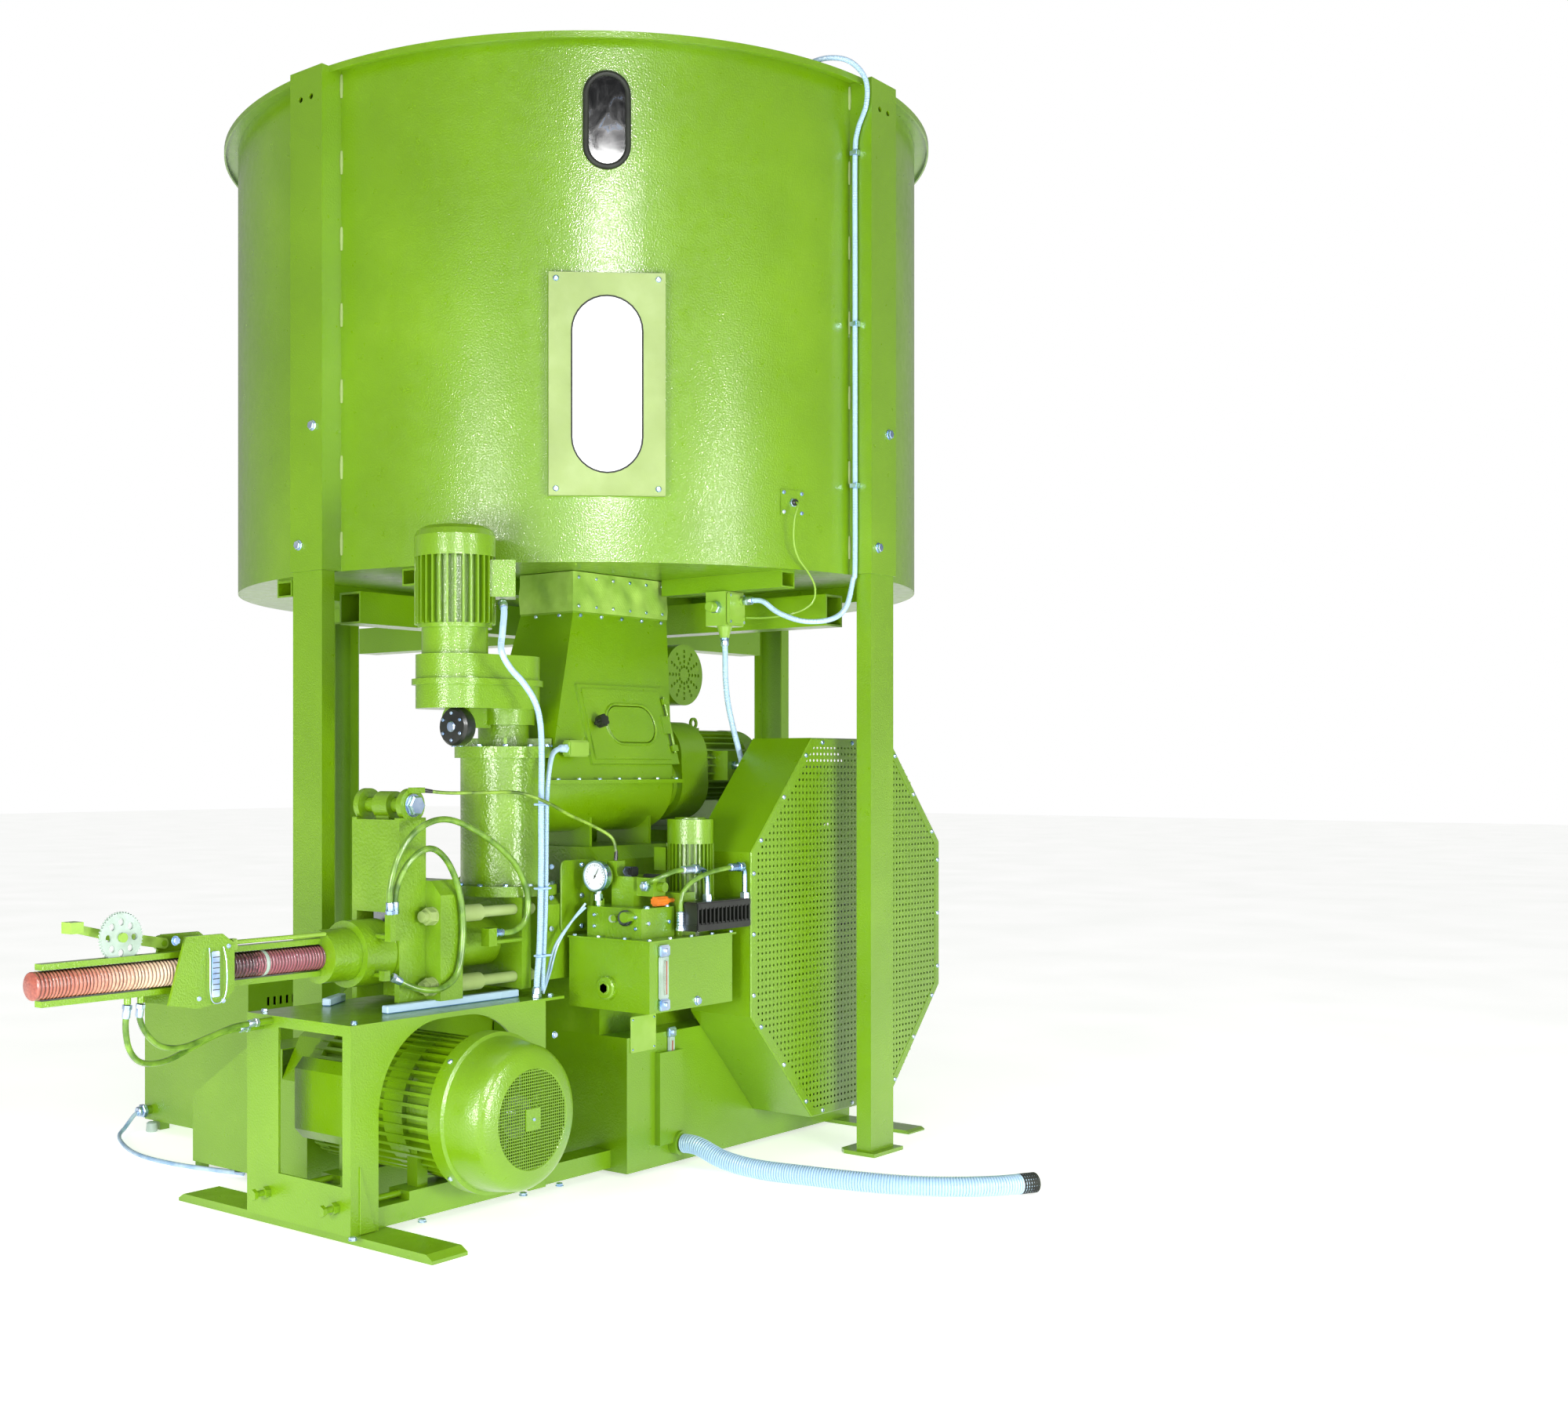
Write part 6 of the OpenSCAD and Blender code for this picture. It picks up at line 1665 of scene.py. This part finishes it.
@dataclass
class Hydraulics:
    """Fittings of the oil tank, its valve block and the pump beside it."""

    finishes: Materials
    lid_z: float = 0.752
    front_y: float = -1.136
    pipe_r: float = 0.008
    hose_r: float = 0.0075
    gauge_at: Point = (-0.950, -0.895, 0.932)

    def tank(self) -> None:
        """Add the lid's screws, the level gauge, the drain plug and the filler cap."""
        screws = Shape()
        for x in (-0.990, -0.890, -0.785, -0.680, -0.581):
            screws.bolt((x, -1.133, self.lid_z), Way.PZ.vector, 0.007, x * 9)
        for y in (-1.040, -0.940, -0.845):
            screws.bolt((-0.990, y, self.lid_z), Way.PZ.vector, 0.007, y * 9)
        screws.make("tank_lid_screws", self.finishes, "zinc")
        y = self.front_y
        channel = Shape().block((-0.952, y - 0.007, 0.577), (-0.906, y + 0.001, 0.704), 0.003)
        channel.make("level_gauge_channel", self.finishes, "white")
        tube = Shape().bar((-0.929, y - 0.009, 0.590), Way.PZ.vector, 0.006, 0.101, 0.001, 16)
        tube.make("level_gauge_tube", self.finishes, "clear")
        line = Shape().block((-0.9305, y - 0.0155, 0.592), (-0.9275, y - 0.0145, 0.690), 0.0003)
        line.make("level_gauge_float_line", self.finishes, "red")
        ends = Shape()
        for z in (0.560, 0.720):
            ends.block((-0.953, y - 0.012, z - 0.017), (-0.905, y + 0.001, z + 0.017), 0.004)
            ends.bolt((-0.929, y - 0.012, z), Way.NY.vector, 0.009)
        ends.make("level_gauge_ends", self.finishes, "zinc")
        drain = Shape().bolt((-0.760, y, 0.556), Way.NY.vector, 0.014, 0.2)
        drain.make("tank_drain_plug", self.finishes, "zinc")
        profile = [(0, 0.034), (0.006, 0.034), (0.010, 0.030), (0.0105, 0.020), (0.013, 0.018), (0.013, 0)]
        cap = Shape().lathe((-1.004, -0.980, 0.604), Way.NX.vector, profile, 40)
        for dy, dz in round_about(0.0335, 24):
            cap.bar((-1.001, -0.980 + dy, 0.604 + dz), Way.NX.vector, 0.0022, 0.007, 0.0006, 8)
        cap.make("filler_cap_grip", self.finishes, "green")

    def gauge(self) -> None:
        """Add the pressure gauge with its dial, scale and needle, on its stem."""
        x, y, z = self.gauge_at
        ring = [(-0.02, 0.0455), (0.005, 0.048), (0.008, 0.0455), (0.008, 0.042), (0.004, 0.041), (0.004, 0)]
        Shape().lathe((x + 0.001, y, z), Way.NX.vector, ring, 44).make("gauge_bezel", self.finishes, "zinc")
        disc = [(0, 0.0408), (0.0006, 0.0408), (0.0006, 0)]
        face = Shape().lathe((x - 0.0032, y, z), Way.NX.vector, disc, 40)
        face.make("gauge_dial", self.finishes, "dial")
        marks = Shape()
        for k in range(21):
            turn = math.radians(-225 + 13.5 * k)
            out = Vector((0, -math.cos(turn), -math.sin(turn)))
            long = 0.007 if k % 5 == 0 else 0.0035
            a = Vector((x - 0.0044, y, z)) + out * 0.037
            marks.sweep([a, a - out * long], 0.0007, 6)
        hub, tip = Vector((x - 0.0045, y, z)), Vector((0, -0.5, 0.86)) * 0.028
        marks.sweep([hub - tip * 0.3, hub + tip], lambda i: 0.0016 if i == 0 else 0.0006, 8)
        marks.bar((x - 0.0038, y, z), Way.NX.vector, 0.0035, 0.002, 0.0005, 16)
        marks.make("gauge_scale_and_needle", self.finishes, "black")
        stem = Shape().hexagon((x + 0.012, y, 0.858), Way.PZ.vector, 0.014, 0.020)
        stem.bar((x + 0.012, y, 0.842), Way.PZ.vector, 0.008, 0.052, 0.001, 18)
        stem.hexagon((x + 0.012, y, 0.882), Way.PZ.vector, 0.011, 0.012, 0.4)
        stem.make("gauge_stem", self.finishes, "zinc")

    def knobs(self) -> None:
        """Add the small knobs, the solenoid's nut and its plug."""
        x = -0.961
        profile = [(0, 0.010), (0.006, 0.010), (0.008, 0.012), (0.018, 0.011), (0.020, 0.007), (0.020, 0)]
        white = Shape().lathe((x, -0.980, 0.809), Way.NX.vector, profile, 24)
        white.make("shutoff_knob", self.finishes, "white")
        profile = [(0, 0.012), (0.006, 0.012), (0.006, 0.022), (0.020, 0.023), (0.024, 0.019), (0.024, 0)]
        dark = Shape().lathe((x, -1.029, 0.813), Way.NX.vector, profile, 36)
        for dy, dz in round_about(0.0222, 18):
            dark.bar((x - 0.007, -1.029 + dy, 0.813 + dz), Way.NX.vector, 0.0018, 0.013, 0.0005, 8)
        dark.make("pressure_screw_knob", self.finishes, "iron")
        nut = Shape().hexagon((-0.887, -1.040, 0.905), Way.NX.vector, 0.017, 0.014)
        nut.bar((-0.900, -1.040, 0.905), Way.NX.vector, 0.009, 0.010, 0.002, 18)
        nut.bolt((-0.935, -1.080, 0.842), Way.PZ.vector, 0.010)
        for y in (-1.075, -0.900):
            nut.bolt((-0.830, y, 0.842), Way.PZ.vector, 0.008)
        for z in (0.782, 0.816):
            for y in (-1.060, -0.900):
                nut.socket_screw((-0.961, y, z), Way.NX.vector, 0.007)
        for px in (-0.930, -0.830):
            nut.socket_screw((px, -1.080, 0.797), Way.NY.vector, 0.008)
        nut.make("valve_block_nuts", self.finishes, "zinc")
        plug = Shape().block((-0.902, -0.998, 0.932), (-0.868, -0.962, 0.962), 0.004)
        plug.block((-0.912, -0.992, 0.938), (-0.900, -0.968, 0.956), 0.003)
        plug.block((-0.862, -1.062, 0.930), (-0.834, -1.006, 0.940), 0.003)
        plug.make("solenoid_plugs", self.finishes, "black")

    def pipe(self, steel: Shape, route: Sequence[Point]) -> None:
        """Add one bent pressure pipe with a nut at each end.

        Args:
            steel: Shape that takes the pipe.
            route: Points that the pipe passes.
        """
        path = curve_through(route, 8)
        steel.sweep(path, self.pipe_r, 14)
        for a, b in ((path[0], path[2]), (path[-1], path[-3])):
            steel.hexagon(tuple(a), (b - a).normalized(), 0.015, 0.018)

    def ferrule(self, steel: Shape, a: Point, b: Point) -> None:
        """Add one crimped ferrule between two points.

        Args:
            steel: Shape that takes the ferrule.
            a: Its end at the hose.
            b: Its end at the pipe.
        """
        way = Vector(b) - Vector(a)
        length = way.length
        rings = [(0, 0.009), (0.003, 0.0125)]
        for k in range(5):
            at = length * (0.12 + 0.14 * k)
            rings += [
                (at, 0.0125), (at + 0.002, 0.0115), (at + length * 0.1, 0.0115),
                (at + length * 0.1 + 0.002, 0.0125),
            ]
        rings += [(length * 0.86, 0.0125), (length * 0.88, 0.0150), (length, 0.0150), (length, 0.008)]
        steel.lathe(a, way, rings, 24)

    def pump(self) -> None:
        """Add the ribbed pump body, its pipes and the short hoses to the valves."""
        body = Shape()
        # The pump body is black, and its black also stands in for the shade in the gap beside the tank.
        for low, high in ((0.768, 0.792), (0.834, 0.856)):
            body.block((-0.800, -1.168, low), (-0.521, -1.112, high), 0.004)
        for k in range(14):
            x = -0.797 + 0.0205 * k
            body.block((x, -1.166, 0.785), (x + 0.009, -1.114, 0.840), 0.002)
        body.make("pump_body_ribs", self.finishes, "black")
        steel = Shape()
        self.ferrule(steel, (-0.807, -1.115, 0.953), (-0.744, -1.115, 0.953))
        self.ferrule(steel, (-0.612, -1.150, 0.954), (-0.558, -1.150, 0.954))
        self.ferrule(steel, (-0.806, -1.108, 0.828), (-0.806, -1.108, 0.770))
        for route in PUMP_PIPES:
            self.pipe(steel, route)
        steel.make("pump_pipes", self.finishes, "zinc")
        hoses = Shape()
        for route in PUMP_HOSES:
            hoses.sweep(curve_through(route, 8), self.hose_r, 14)
        hoses.make("pump_short_hoses", self.finishes, "hose")

    def build(self) -> None:
        """Build every hydraulic fitting."""
        self.tank()
        self.gauge()
        self.knobs()
        self.pump()


@dataclass
class SiloFittings:
    """Welds, level probe and junction box of the silo."""

    finishes: Materials
    weld_side: float = 0.0785
    weld_pitch: float = 0.245
    weld_length: float = 0.075
    weld_steps: int = 8
    sleeve_low: float = 1.945
    sleeve_high: float = 3.45
    probe_deg: float = -106.0
    probe_z: float = 2.104

    def weld_radius(self, ring: int) -> float:
        """Radius of a weld bead: thin at its ends, with a ripple."""
        return 0.0040 + 0.0020 * math.sin(math.pi * ring / self.weld_steps) + (0.0006 if ring % 2 else 0)

    def welds(self) -> None:
        """Lay the stitch welds along both sides of each leg sleeve."""
        rng = random.Random(11)
        beads = Shape()
        for quarter in range(4):
            turn = Matrix.Rotation(math.radians(90 * quarter), 4, "Z")
            for side in (-self.weld_side, self.weld_side):
                z = self.sleeve_low
                while z < self.sleeve_high:
                    path = []
                    for k in range(self.weld_steps + 1):
                        out = SILO_R - 0.0025 + rng.uniform(0, 0.0006)
                        path.append(turn @ Vector((out, side, z + self.weld_length * (k / self.weld_steps))))
                    beads.sweep(path, self.weld_radius, 8)
                    z += self.weld_pitch
        # Painted highlight: the welds take the paler enamel so that they show as the light glints on their
        # beads.
        beads.make("sleeve_stitch_welds", self.finishes, "pale")

    def probe(self) -> None:
        """Add the level probe on its square flange and its cable."""
        turn = Matrix.Rotation(math.radians(self.probe_deg), 4, "Z")
        out = turn @ Vector((1, 0, 0))
        z = self.probe_z
        flange = Shape().block(
            (SILO_R - 0.002, -0.048, z - 0.042), (SILO_R + 0.004, 0.048, z + 0.042), 0.002, turn
        )
        flange.make("level_probe_flange", self.finishes, "green")
        screws = Shape()
        for y in (-0.037, 0.037):
            for dz in (-0.031, 0.031):
                screws.bolt(tuple(turn @ Vector((SILO_R + 0.004, y, z + dz))), out, 0.006, 0.2 + dz * 50)
        screws.hexagon(tuple(turn @ Vector((SILO_R + 0.004, 0, z))), out, 0.014, 0.008)
        screws.make("level_probe_screws", self.finishes, "zinc")
        head = Shape().lathe(
            tuple(turn @ Vector((SILO_R + 0.012, 0, z))), out,
            [(0, 0.011), (0.006, 0.011), (0.010, 0.008), (0.010, 0)], 20,
        )
        head.make("level_probe_head", self.finishes, "black")
        route = [
            (-0.352, -1.222, 2.104), (-0.368, -1.240, 2.090), (-0.385, -1.238, 2.045),
            (-0.380, -1.232, 1.978), (-0.354, -1.232, 1.926), (-0.282, -1.225, 1.882),
            (-0.232, -1.215, 1.841), (-0.218, -1.195, 1.796), (-0.246, -1.150, 1.764),
            (-0.270, -1.060, 1.752), (-0.272, -0.975, 1.756),
        ]
        cable = Shape().sweep(curve_through(route, 8), 0.0032, 10)
        cable.make("level_probe_cable", self.finishes, "light")

    def junction(self) -> None:
        """Add the junction box's lid, its screws and its side gland."""
        lid = Shape().block((-0.352, -0.962, 1.731), (-0.258, -0.948, 1.837), 0.005)
        lid.bar((-0.372, -0.915, 1.788), Way.NX.vector, 0.017, 0.030, 0.003, 24)
        lid.make("junction_box_lid", self.finishes, "light")
        screws = Shape()
        for x in (-0.342, -0.268):
            for z in (1.741, 1.827):
                screws.lathe((x, -0.962, z), Way.NY.vector, LID_HEAD, 12)
        screws.hexagon((-0.355, -0.915, 1.788), Way.NX.vector, 0.021, 0.018)
        screws.make("junction_box_screws", self.finishes, "zinc")

    def build(self) -> None:
        """Build the silo's fittings."""
        self.welds()
        self.probe()
        self.junction()


@dataclass
class ChuteFittings:
    """Flange bolts, sleeve screws, door panel and switch of the chute."""

    finishes: Materials
    lean: float = math.atan2(144, 539)
    outer: float = -0.0155
    oval: Flat = (-0.620, 0.185)

    def on_front(self, x: float, s: float, out: float) -> Vector:
        """Point of the chute's leaning front.

        Args:
            x: Place along X.
            s: Metres up the slope.
            out: Distance in front of it.

        Returns:
            The point.
        """
        cos, sin = math.cos(self.lean), math.sin(self.lean)
        return Vector((x, -0.800 + out * cos + s * sin, 1.219 - out * sin + s * cos))

    def front(self) -> None:
        """Add the door's sunken oval and the bead round it."""
        way = Vector((0, -math.cos(self.lean), math.sin(self.lean)))
        x, s = self.oval
        oval = stadium(0.118, 0.236, 14)
        outline = [self.on_front(x + a, s + b, self.outer + 0.004) for b, a in oval]
        Shape().prism(outline, way, 0.005, 0.001).make("door_pane", self.finishes, "green", "door")
        oval = stadium(0.132, 0.252, 14)
        rim = [self.on_front(x + a, s + b, self.outer - 0.0005) for b, a in oval]
        Shape().bead(rim, way, 0.005, 0.004).make("door_pane_rim", self.finishes, "cast", "door")

    def flange(self) -> None:
        """Bolt the chute's foot flange to the trough and the sleeve's straps to the collar."""
        heads = Shape()
        for k in range(7):
            heads.bolt((-1.035 + k * 0.098, -0.818, 1.225), Way.PZ.vector, 0.007, k * 0.4)
        for k in range(6):
            x = -0.752 + k * 0.087
            for z in (1.874, 1.782):
                heads.lathe((x, -0.6590, z), Way.NY.vector, SLEEVE_RIVET, 14)
        for k in range(5):
            heads.bolt((-0.745 + k * 0.105, -0.6595, 1.752), Way.NY.vector, 0.006, k * 0.5)
            heads.bolt((-0.745 + k * 0.105, -0.6595, 1.906), Way.NY.vector, 0.006, k * 0.3)
        for y in (-0.600, -0.500):
            heads.bolt((-0.781, y, 1.752), Way.NX.vector, 0.006)
        heads.make("chute_flange_bolts", self.finishes, "zinc")

    def switch(self) -> None:
        """Add the door switch with its gland, its conduit and the conduit's ties."""
        body = Shape().block((-0.990, -0.826, 1.296), (-0.895, -0.792, 1.346), 0.005)
        body.make("door_switch_body", self.finishes, "light")
        gland = Shape().hexagon((-0.990, -0.809, 1.321), Way.NX.vector, 0.014, 0.012)
        collar = [(0, 0.012), (0.012, 0.012), (0.018, 0.009)]
        gland.lathe((-1.002, -0.809, 1.321), Way.NX.vector, collar, 18)
        gland.make("door_switch_gland", self.finishes, "conduit")
        tube = Shape()
        route = [
            (-1.018, -0.809, 1.321), (-1.075, -0.830, 1.303), (-1.112, -0.848, 1.249),
            (-1.124, -0.850, 1.167), (-1.126, -0.850, 1.074), (-1.129, -0.850, 0.863),
            (-1.140, -0.850, 0.680), (-1.144, -0.850, 0.598),
        ]
        Conduits(self.finishes).ribbed(tube, route, 0.008)
        tube.make("door_switch_conduit", self.finishes, "conduit", smooth=60)
        ties = Shape()
        for z in (1.150, 0.900, 0.700):
            ties.block((-1.172, -0.862, z), (-1.114, -0.838, z + 0.006), 0.002)
        ties.make("conduit_ties", self.finishes, "conduit")

    def build(self) -> None:
        """Build the chute's fittings."""
        self.front()
        self.flange()
        self.switch()


@dataclass
class FeederFittings:
    """Fittings of the vertical feeder, its gearbox and the press head below it."""

    finishes: Materials
    bolt_circle: float = 0.151
    bolts: int = 12
    flange_tops: Flat = (1.326, 0.907)
    cover_at: Point = (-0.923, -0.800, 0.868)

    def gearbox(self) -> None:
        """Add the gearbox's black end cap and its screws."""
        x, y, z = -1.318, -0.690, 1.383
        profile = [(0, 0.052), (0.010, 0.057), (0.040, 0.057), (0.048, 0.050), (0.050, 0.020), (0.050, 0)]
        cap = Shape().lathe((x, y, z), Way.NX.vector, profile, 44)
        cap.make("gearbox_end_cap", self.finishes, "black")
        rim = Shape().bar((x - 0.045, y, z), Way.NX.vector, 0.016, 0.010, 0.003, 28)
        for k in range(6):
            turn = math.radians(30 + 60 * k)
            at = (x - 0.050, y + 0.040 * math.cos(turn), z + 0.040 * math.sin(turn))
            rim.bolt(at, Way.NX.vector, 0.005)
        rim.make("gearbox_cap_screws", self.finishes, "zinc")

    def flanges(self) -> None:
        """Bolt the feeder tube's flanges, top and bottom."""
        heads = Shape()
        for z in self.flange_tops:
            for k in range(self.bolts):
                turn = 2 * math.pi * (k + 0.5) / self.bolts
                dx, dy = self.bolt_circle * math.cos(turn), self.bolt_circle * math.sin(turn)
                heads.bolt((FEEDER_X + dx, LINE_Y + dy, z), Way.PZ.vector, 0.009, k * 0.7)
        heads.make("feeder_flange_bolts", self.finishes, "zinc")

    def head(self) -> None:
        """Add the press head's rounded cover with its screws, and two cables."""
        x, y, z = self.cover_at
        outline = [(x + a, y, z + b) for a, b in self.rounded(0.172, 0.222, 0.022)]
        Shape().prism(outline, (0, -1, 0), 0.007, 0.0025).make("head_cover_plate", self.finishes, "cast")
        heads = Shape()
        for x in (-1.055, -0.913):
            for z in (0.774, 0.868, 0.962):
                heads.bolt((x, -0.807, z), Way.NY.vector, 0.008, x + z)
        heads.make("head_cover_bolts", self.finishes, "zinc")
        cables = Shape()
        for shift in (0.0, 0.012):
            route = [
                (-0.985, -0.884, 0.851 - shift), (-1.010, -0.850, 0.796), (-1.060 - shift, -0.838, 0.728),
                (-1.100 - shift, -0.842, 0.649), (-1.150, -0.859, 0.592),
            ]
            cables.sweep(curve_through(route, 8), 0.0036, 10)
        cables.make("valve_cables", self.finishes, "pale_sheath")

    @staticmethod
    def rounded(width: float, height: float, radius: float) -> list[Flat]:
        """Outline of a rectangle with round corners.

        Args:
            width: Width of the rectangle.
            height: Its height.
            radius: Radius of its corners.

        Returns:
            Points in order.
        """
        out = []
        for k, (sx, sz) in enumerate(((1, 1), (-1, 1), (-1, -1), (1, -1))):
            x, z = sx * (width / 2 - radius), sz * (height / 2 - radius)
            for step in range(7):
                turn = math.radians(90 * k + 15 * step)
                out.append((x + radius * math.cos(turn), z + radius * math.sin(turn)))
        return out

    def build(self) -> None:
        """Build the feeder's fittings."""
        self.gearbox()
        self.flanges()
        self.head()


@dataclass
class BaseFittings:
    """Gusset, bolts, rails and gauges of the table, the bed, the cabinet and the guard."""

    finishes: Materials
    top_z: float = 0.580
    rail_z: float = 0.5803
    rails: tuple[tuple[Flat, Flat], ...] = (
        ((-1.715, -0.772), (-1.190, -0.786)), ((-1.715, -0.530), (-1.600, -0.470))
    )

    def table(self) -> None:
        """Add the table's gussets, foot bolts, jack bolts and the pale rail."""
        corners = [(-1.910, -0.885, 0.205), (-1.910, -0.885, 0.024), (-1.854, -0.885, 0.024)]
        gusset = Shape().prism(corners, (0, 1, 0), 0.006, 0.001)
        gusset.make("table_leg_gusset", self.finishes, "green")
        bolts = Shape()
        for x in (-1.955, -1.700, -1.290, -1.130):
            bolts.bolt((x, -0.905, 0.023), Way.PZ.vector, 0.012, x * 3)
        for x, z in ((-1.126, 0.468), (-1.150, 0.168)):
            bolts.bolt((x, -0.881, z), Way.NY.vector, 0.010, 0.3)
        for x in (-1.900, -1.110):
            for y in (-0.850, -0.480):
                bolts.bolt((x, y, self.top_z), Way.PZ.vector, 0.010, x + y)
        bolts.make("table_bolts", self.finishes, "zinc")
        rail = Shape()
        for start, end in self.rails:
            a, b = Vector((*start, self.rail_z)), Vector((*end, self.rail_z))
            way = Vector((end[0] - start[0], end[1] - start[1], 0))
            side = Vector((-way.y, way.x, 0)).normalized() * 0.013
            corners = [a - side, b - side, b + side, a + side]
            rail.prism([tuple(p) for p in corners], (0, 0, 1), 0.022, 0.003)
        rail.make("table_pale_rails", self.finishes, "conduit")
        pin = Shape().hexagon((-1.5825, -0.753, 1.155), Way.NY.vector, 0.030, 0.018)
        pin.bar((-1.5825, -0.748, 1.155), Way.NY.vector, 0.034, 0.004, 0.001, 32)
        pin.make("clamp_pin_nut", self.finishes, "zinc")

    def bed(self) -> None:
        """Add the bed's level gauge, its cover plate and the plate's rivets."""
        y = -0.930
        channel = Shape().block((-0.641, y - 0.008, 0.310), (-0.609, y + 0.001, 0.415), 0.003)
        channel.make("bed_gauge_channel", self.finishes, "white")
        line = Shape().block((-0.6265, y - 0.0105, 0.320), (-0.6235, y - 0.0085, 0.400), 0.0003)
        line.make("bed_gauge_line", self.finishes, "red")
        ends = Shape()
        for z in (0.298, 0.427):
            ends.block((-0.644, y - 0.013, z - 0.016), (-0.606, y + 0.001, z + 0.016), 0.004)
            ends.bolt((-0.625, y - 0.013, z), Way.NY.vector, 0.009)
        ends.make("bed_gauge_ends", self.finishes, "zinc")
        outline = [(-0.764 + a, y, 0.438 + b) for a, b in FeederFittings.rounded(0.126, 0.112, 0.004)]
        plate = Shape().prism(outline, (0, -1, 0), 0.003, 0.001)
        plate.make("bed_blank_plate", self.finishes, "light")
        rivets = Shape()
        for a in (-0.053, 0.053):
            for b in (-0.046, 0.046):
                rivets.lathe((-0.764 + a, y - 0.003, 0.438 + b), Way.NY.vector, PLATE_RIVET, 12)
        rivets.make("bed_plate_rivets", self.finishes, "zinc")

    def cabinet(self) -> None:
        """Add the cabinet's two front feet and the gland of its floor cable."""
        feet = Shape()
        for y in (0.300, 0.760):
            profile = [(0, 0.018), (0.004, 0.020), (0.030, 0.018), (0.034, 0.012)]
            feet.lathe((-1.372, y, 0.0), Way.PZ.vector, profile, 24)
        feet.make("cabinet_white_feet", self.finishes, "white")
        gland = Shape().hexagon((-1.380, 0.790, 0.070), Way.NX.vector, 0.024, 0.016)
        gland.bar((-1.396, 0.790, 0.070), Way.NX.vector, 0.017, 0.016, 0.004, 24)
        gland.make("cabinet_cable_gland", self.finishes, "zinc")

    def guard(self) -> None:
        """Add the screws round the perforated guard's rim."""
        pts = FlywheelGuard(self.finishes).octagon(0.015, -1.163)
        heads = Shape()
        for a, b in zip(pts, pts[1:] + pts[:1]):
            for t in (0.12, 0.5, 0.88):
                heads.lathe(a.lerp(b, t), Way.NY.vector, RIM_HEAD, 18)
        heads.make("guard_rim_screws", self.finishes, "zinc")

    def build(self) -> None:
        """Build the fittings of the base."""
        self.table()
        self.bed()
        self.cabinet()
        self.guard()


def dress(frame: dict[str, Any], finishes: Materials) -> None:
    """Give every CAD node its finish.

    Args:
        finishes: The materials.
    """
    for finish, names in CAD_FINISH.items():
        for name in names.split():
            node = frame["nodes"][name]
            node.data.materials.clear()
            node.data.materials.append(finishes[finish])


def main() -> None:
    """Build the press round its CAD frame."""
    logging.basicConfig(level=logging.INFO, format="%(message)s")
    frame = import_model()
    studio = Studio()
    studio.camera()
    finishes: Materials = {name: finish.build() for name, finish in FINISH.items()}
    Cords(finishes).build()
    dress(frame, finishes)
    for assembly in (
        Silo, Conduits, FlywheelGuard, Motor, Outfeed, Chute, Hydraulics, SiloFittings, ChuteFittings,
        FeederFittings, BaseFittings,
    ):
        assembly(finishes).build()
        log.info("%s done", assembly.__name__)
    studio.floor()
    studio.light()


if __name__ == "__main__":
    main()
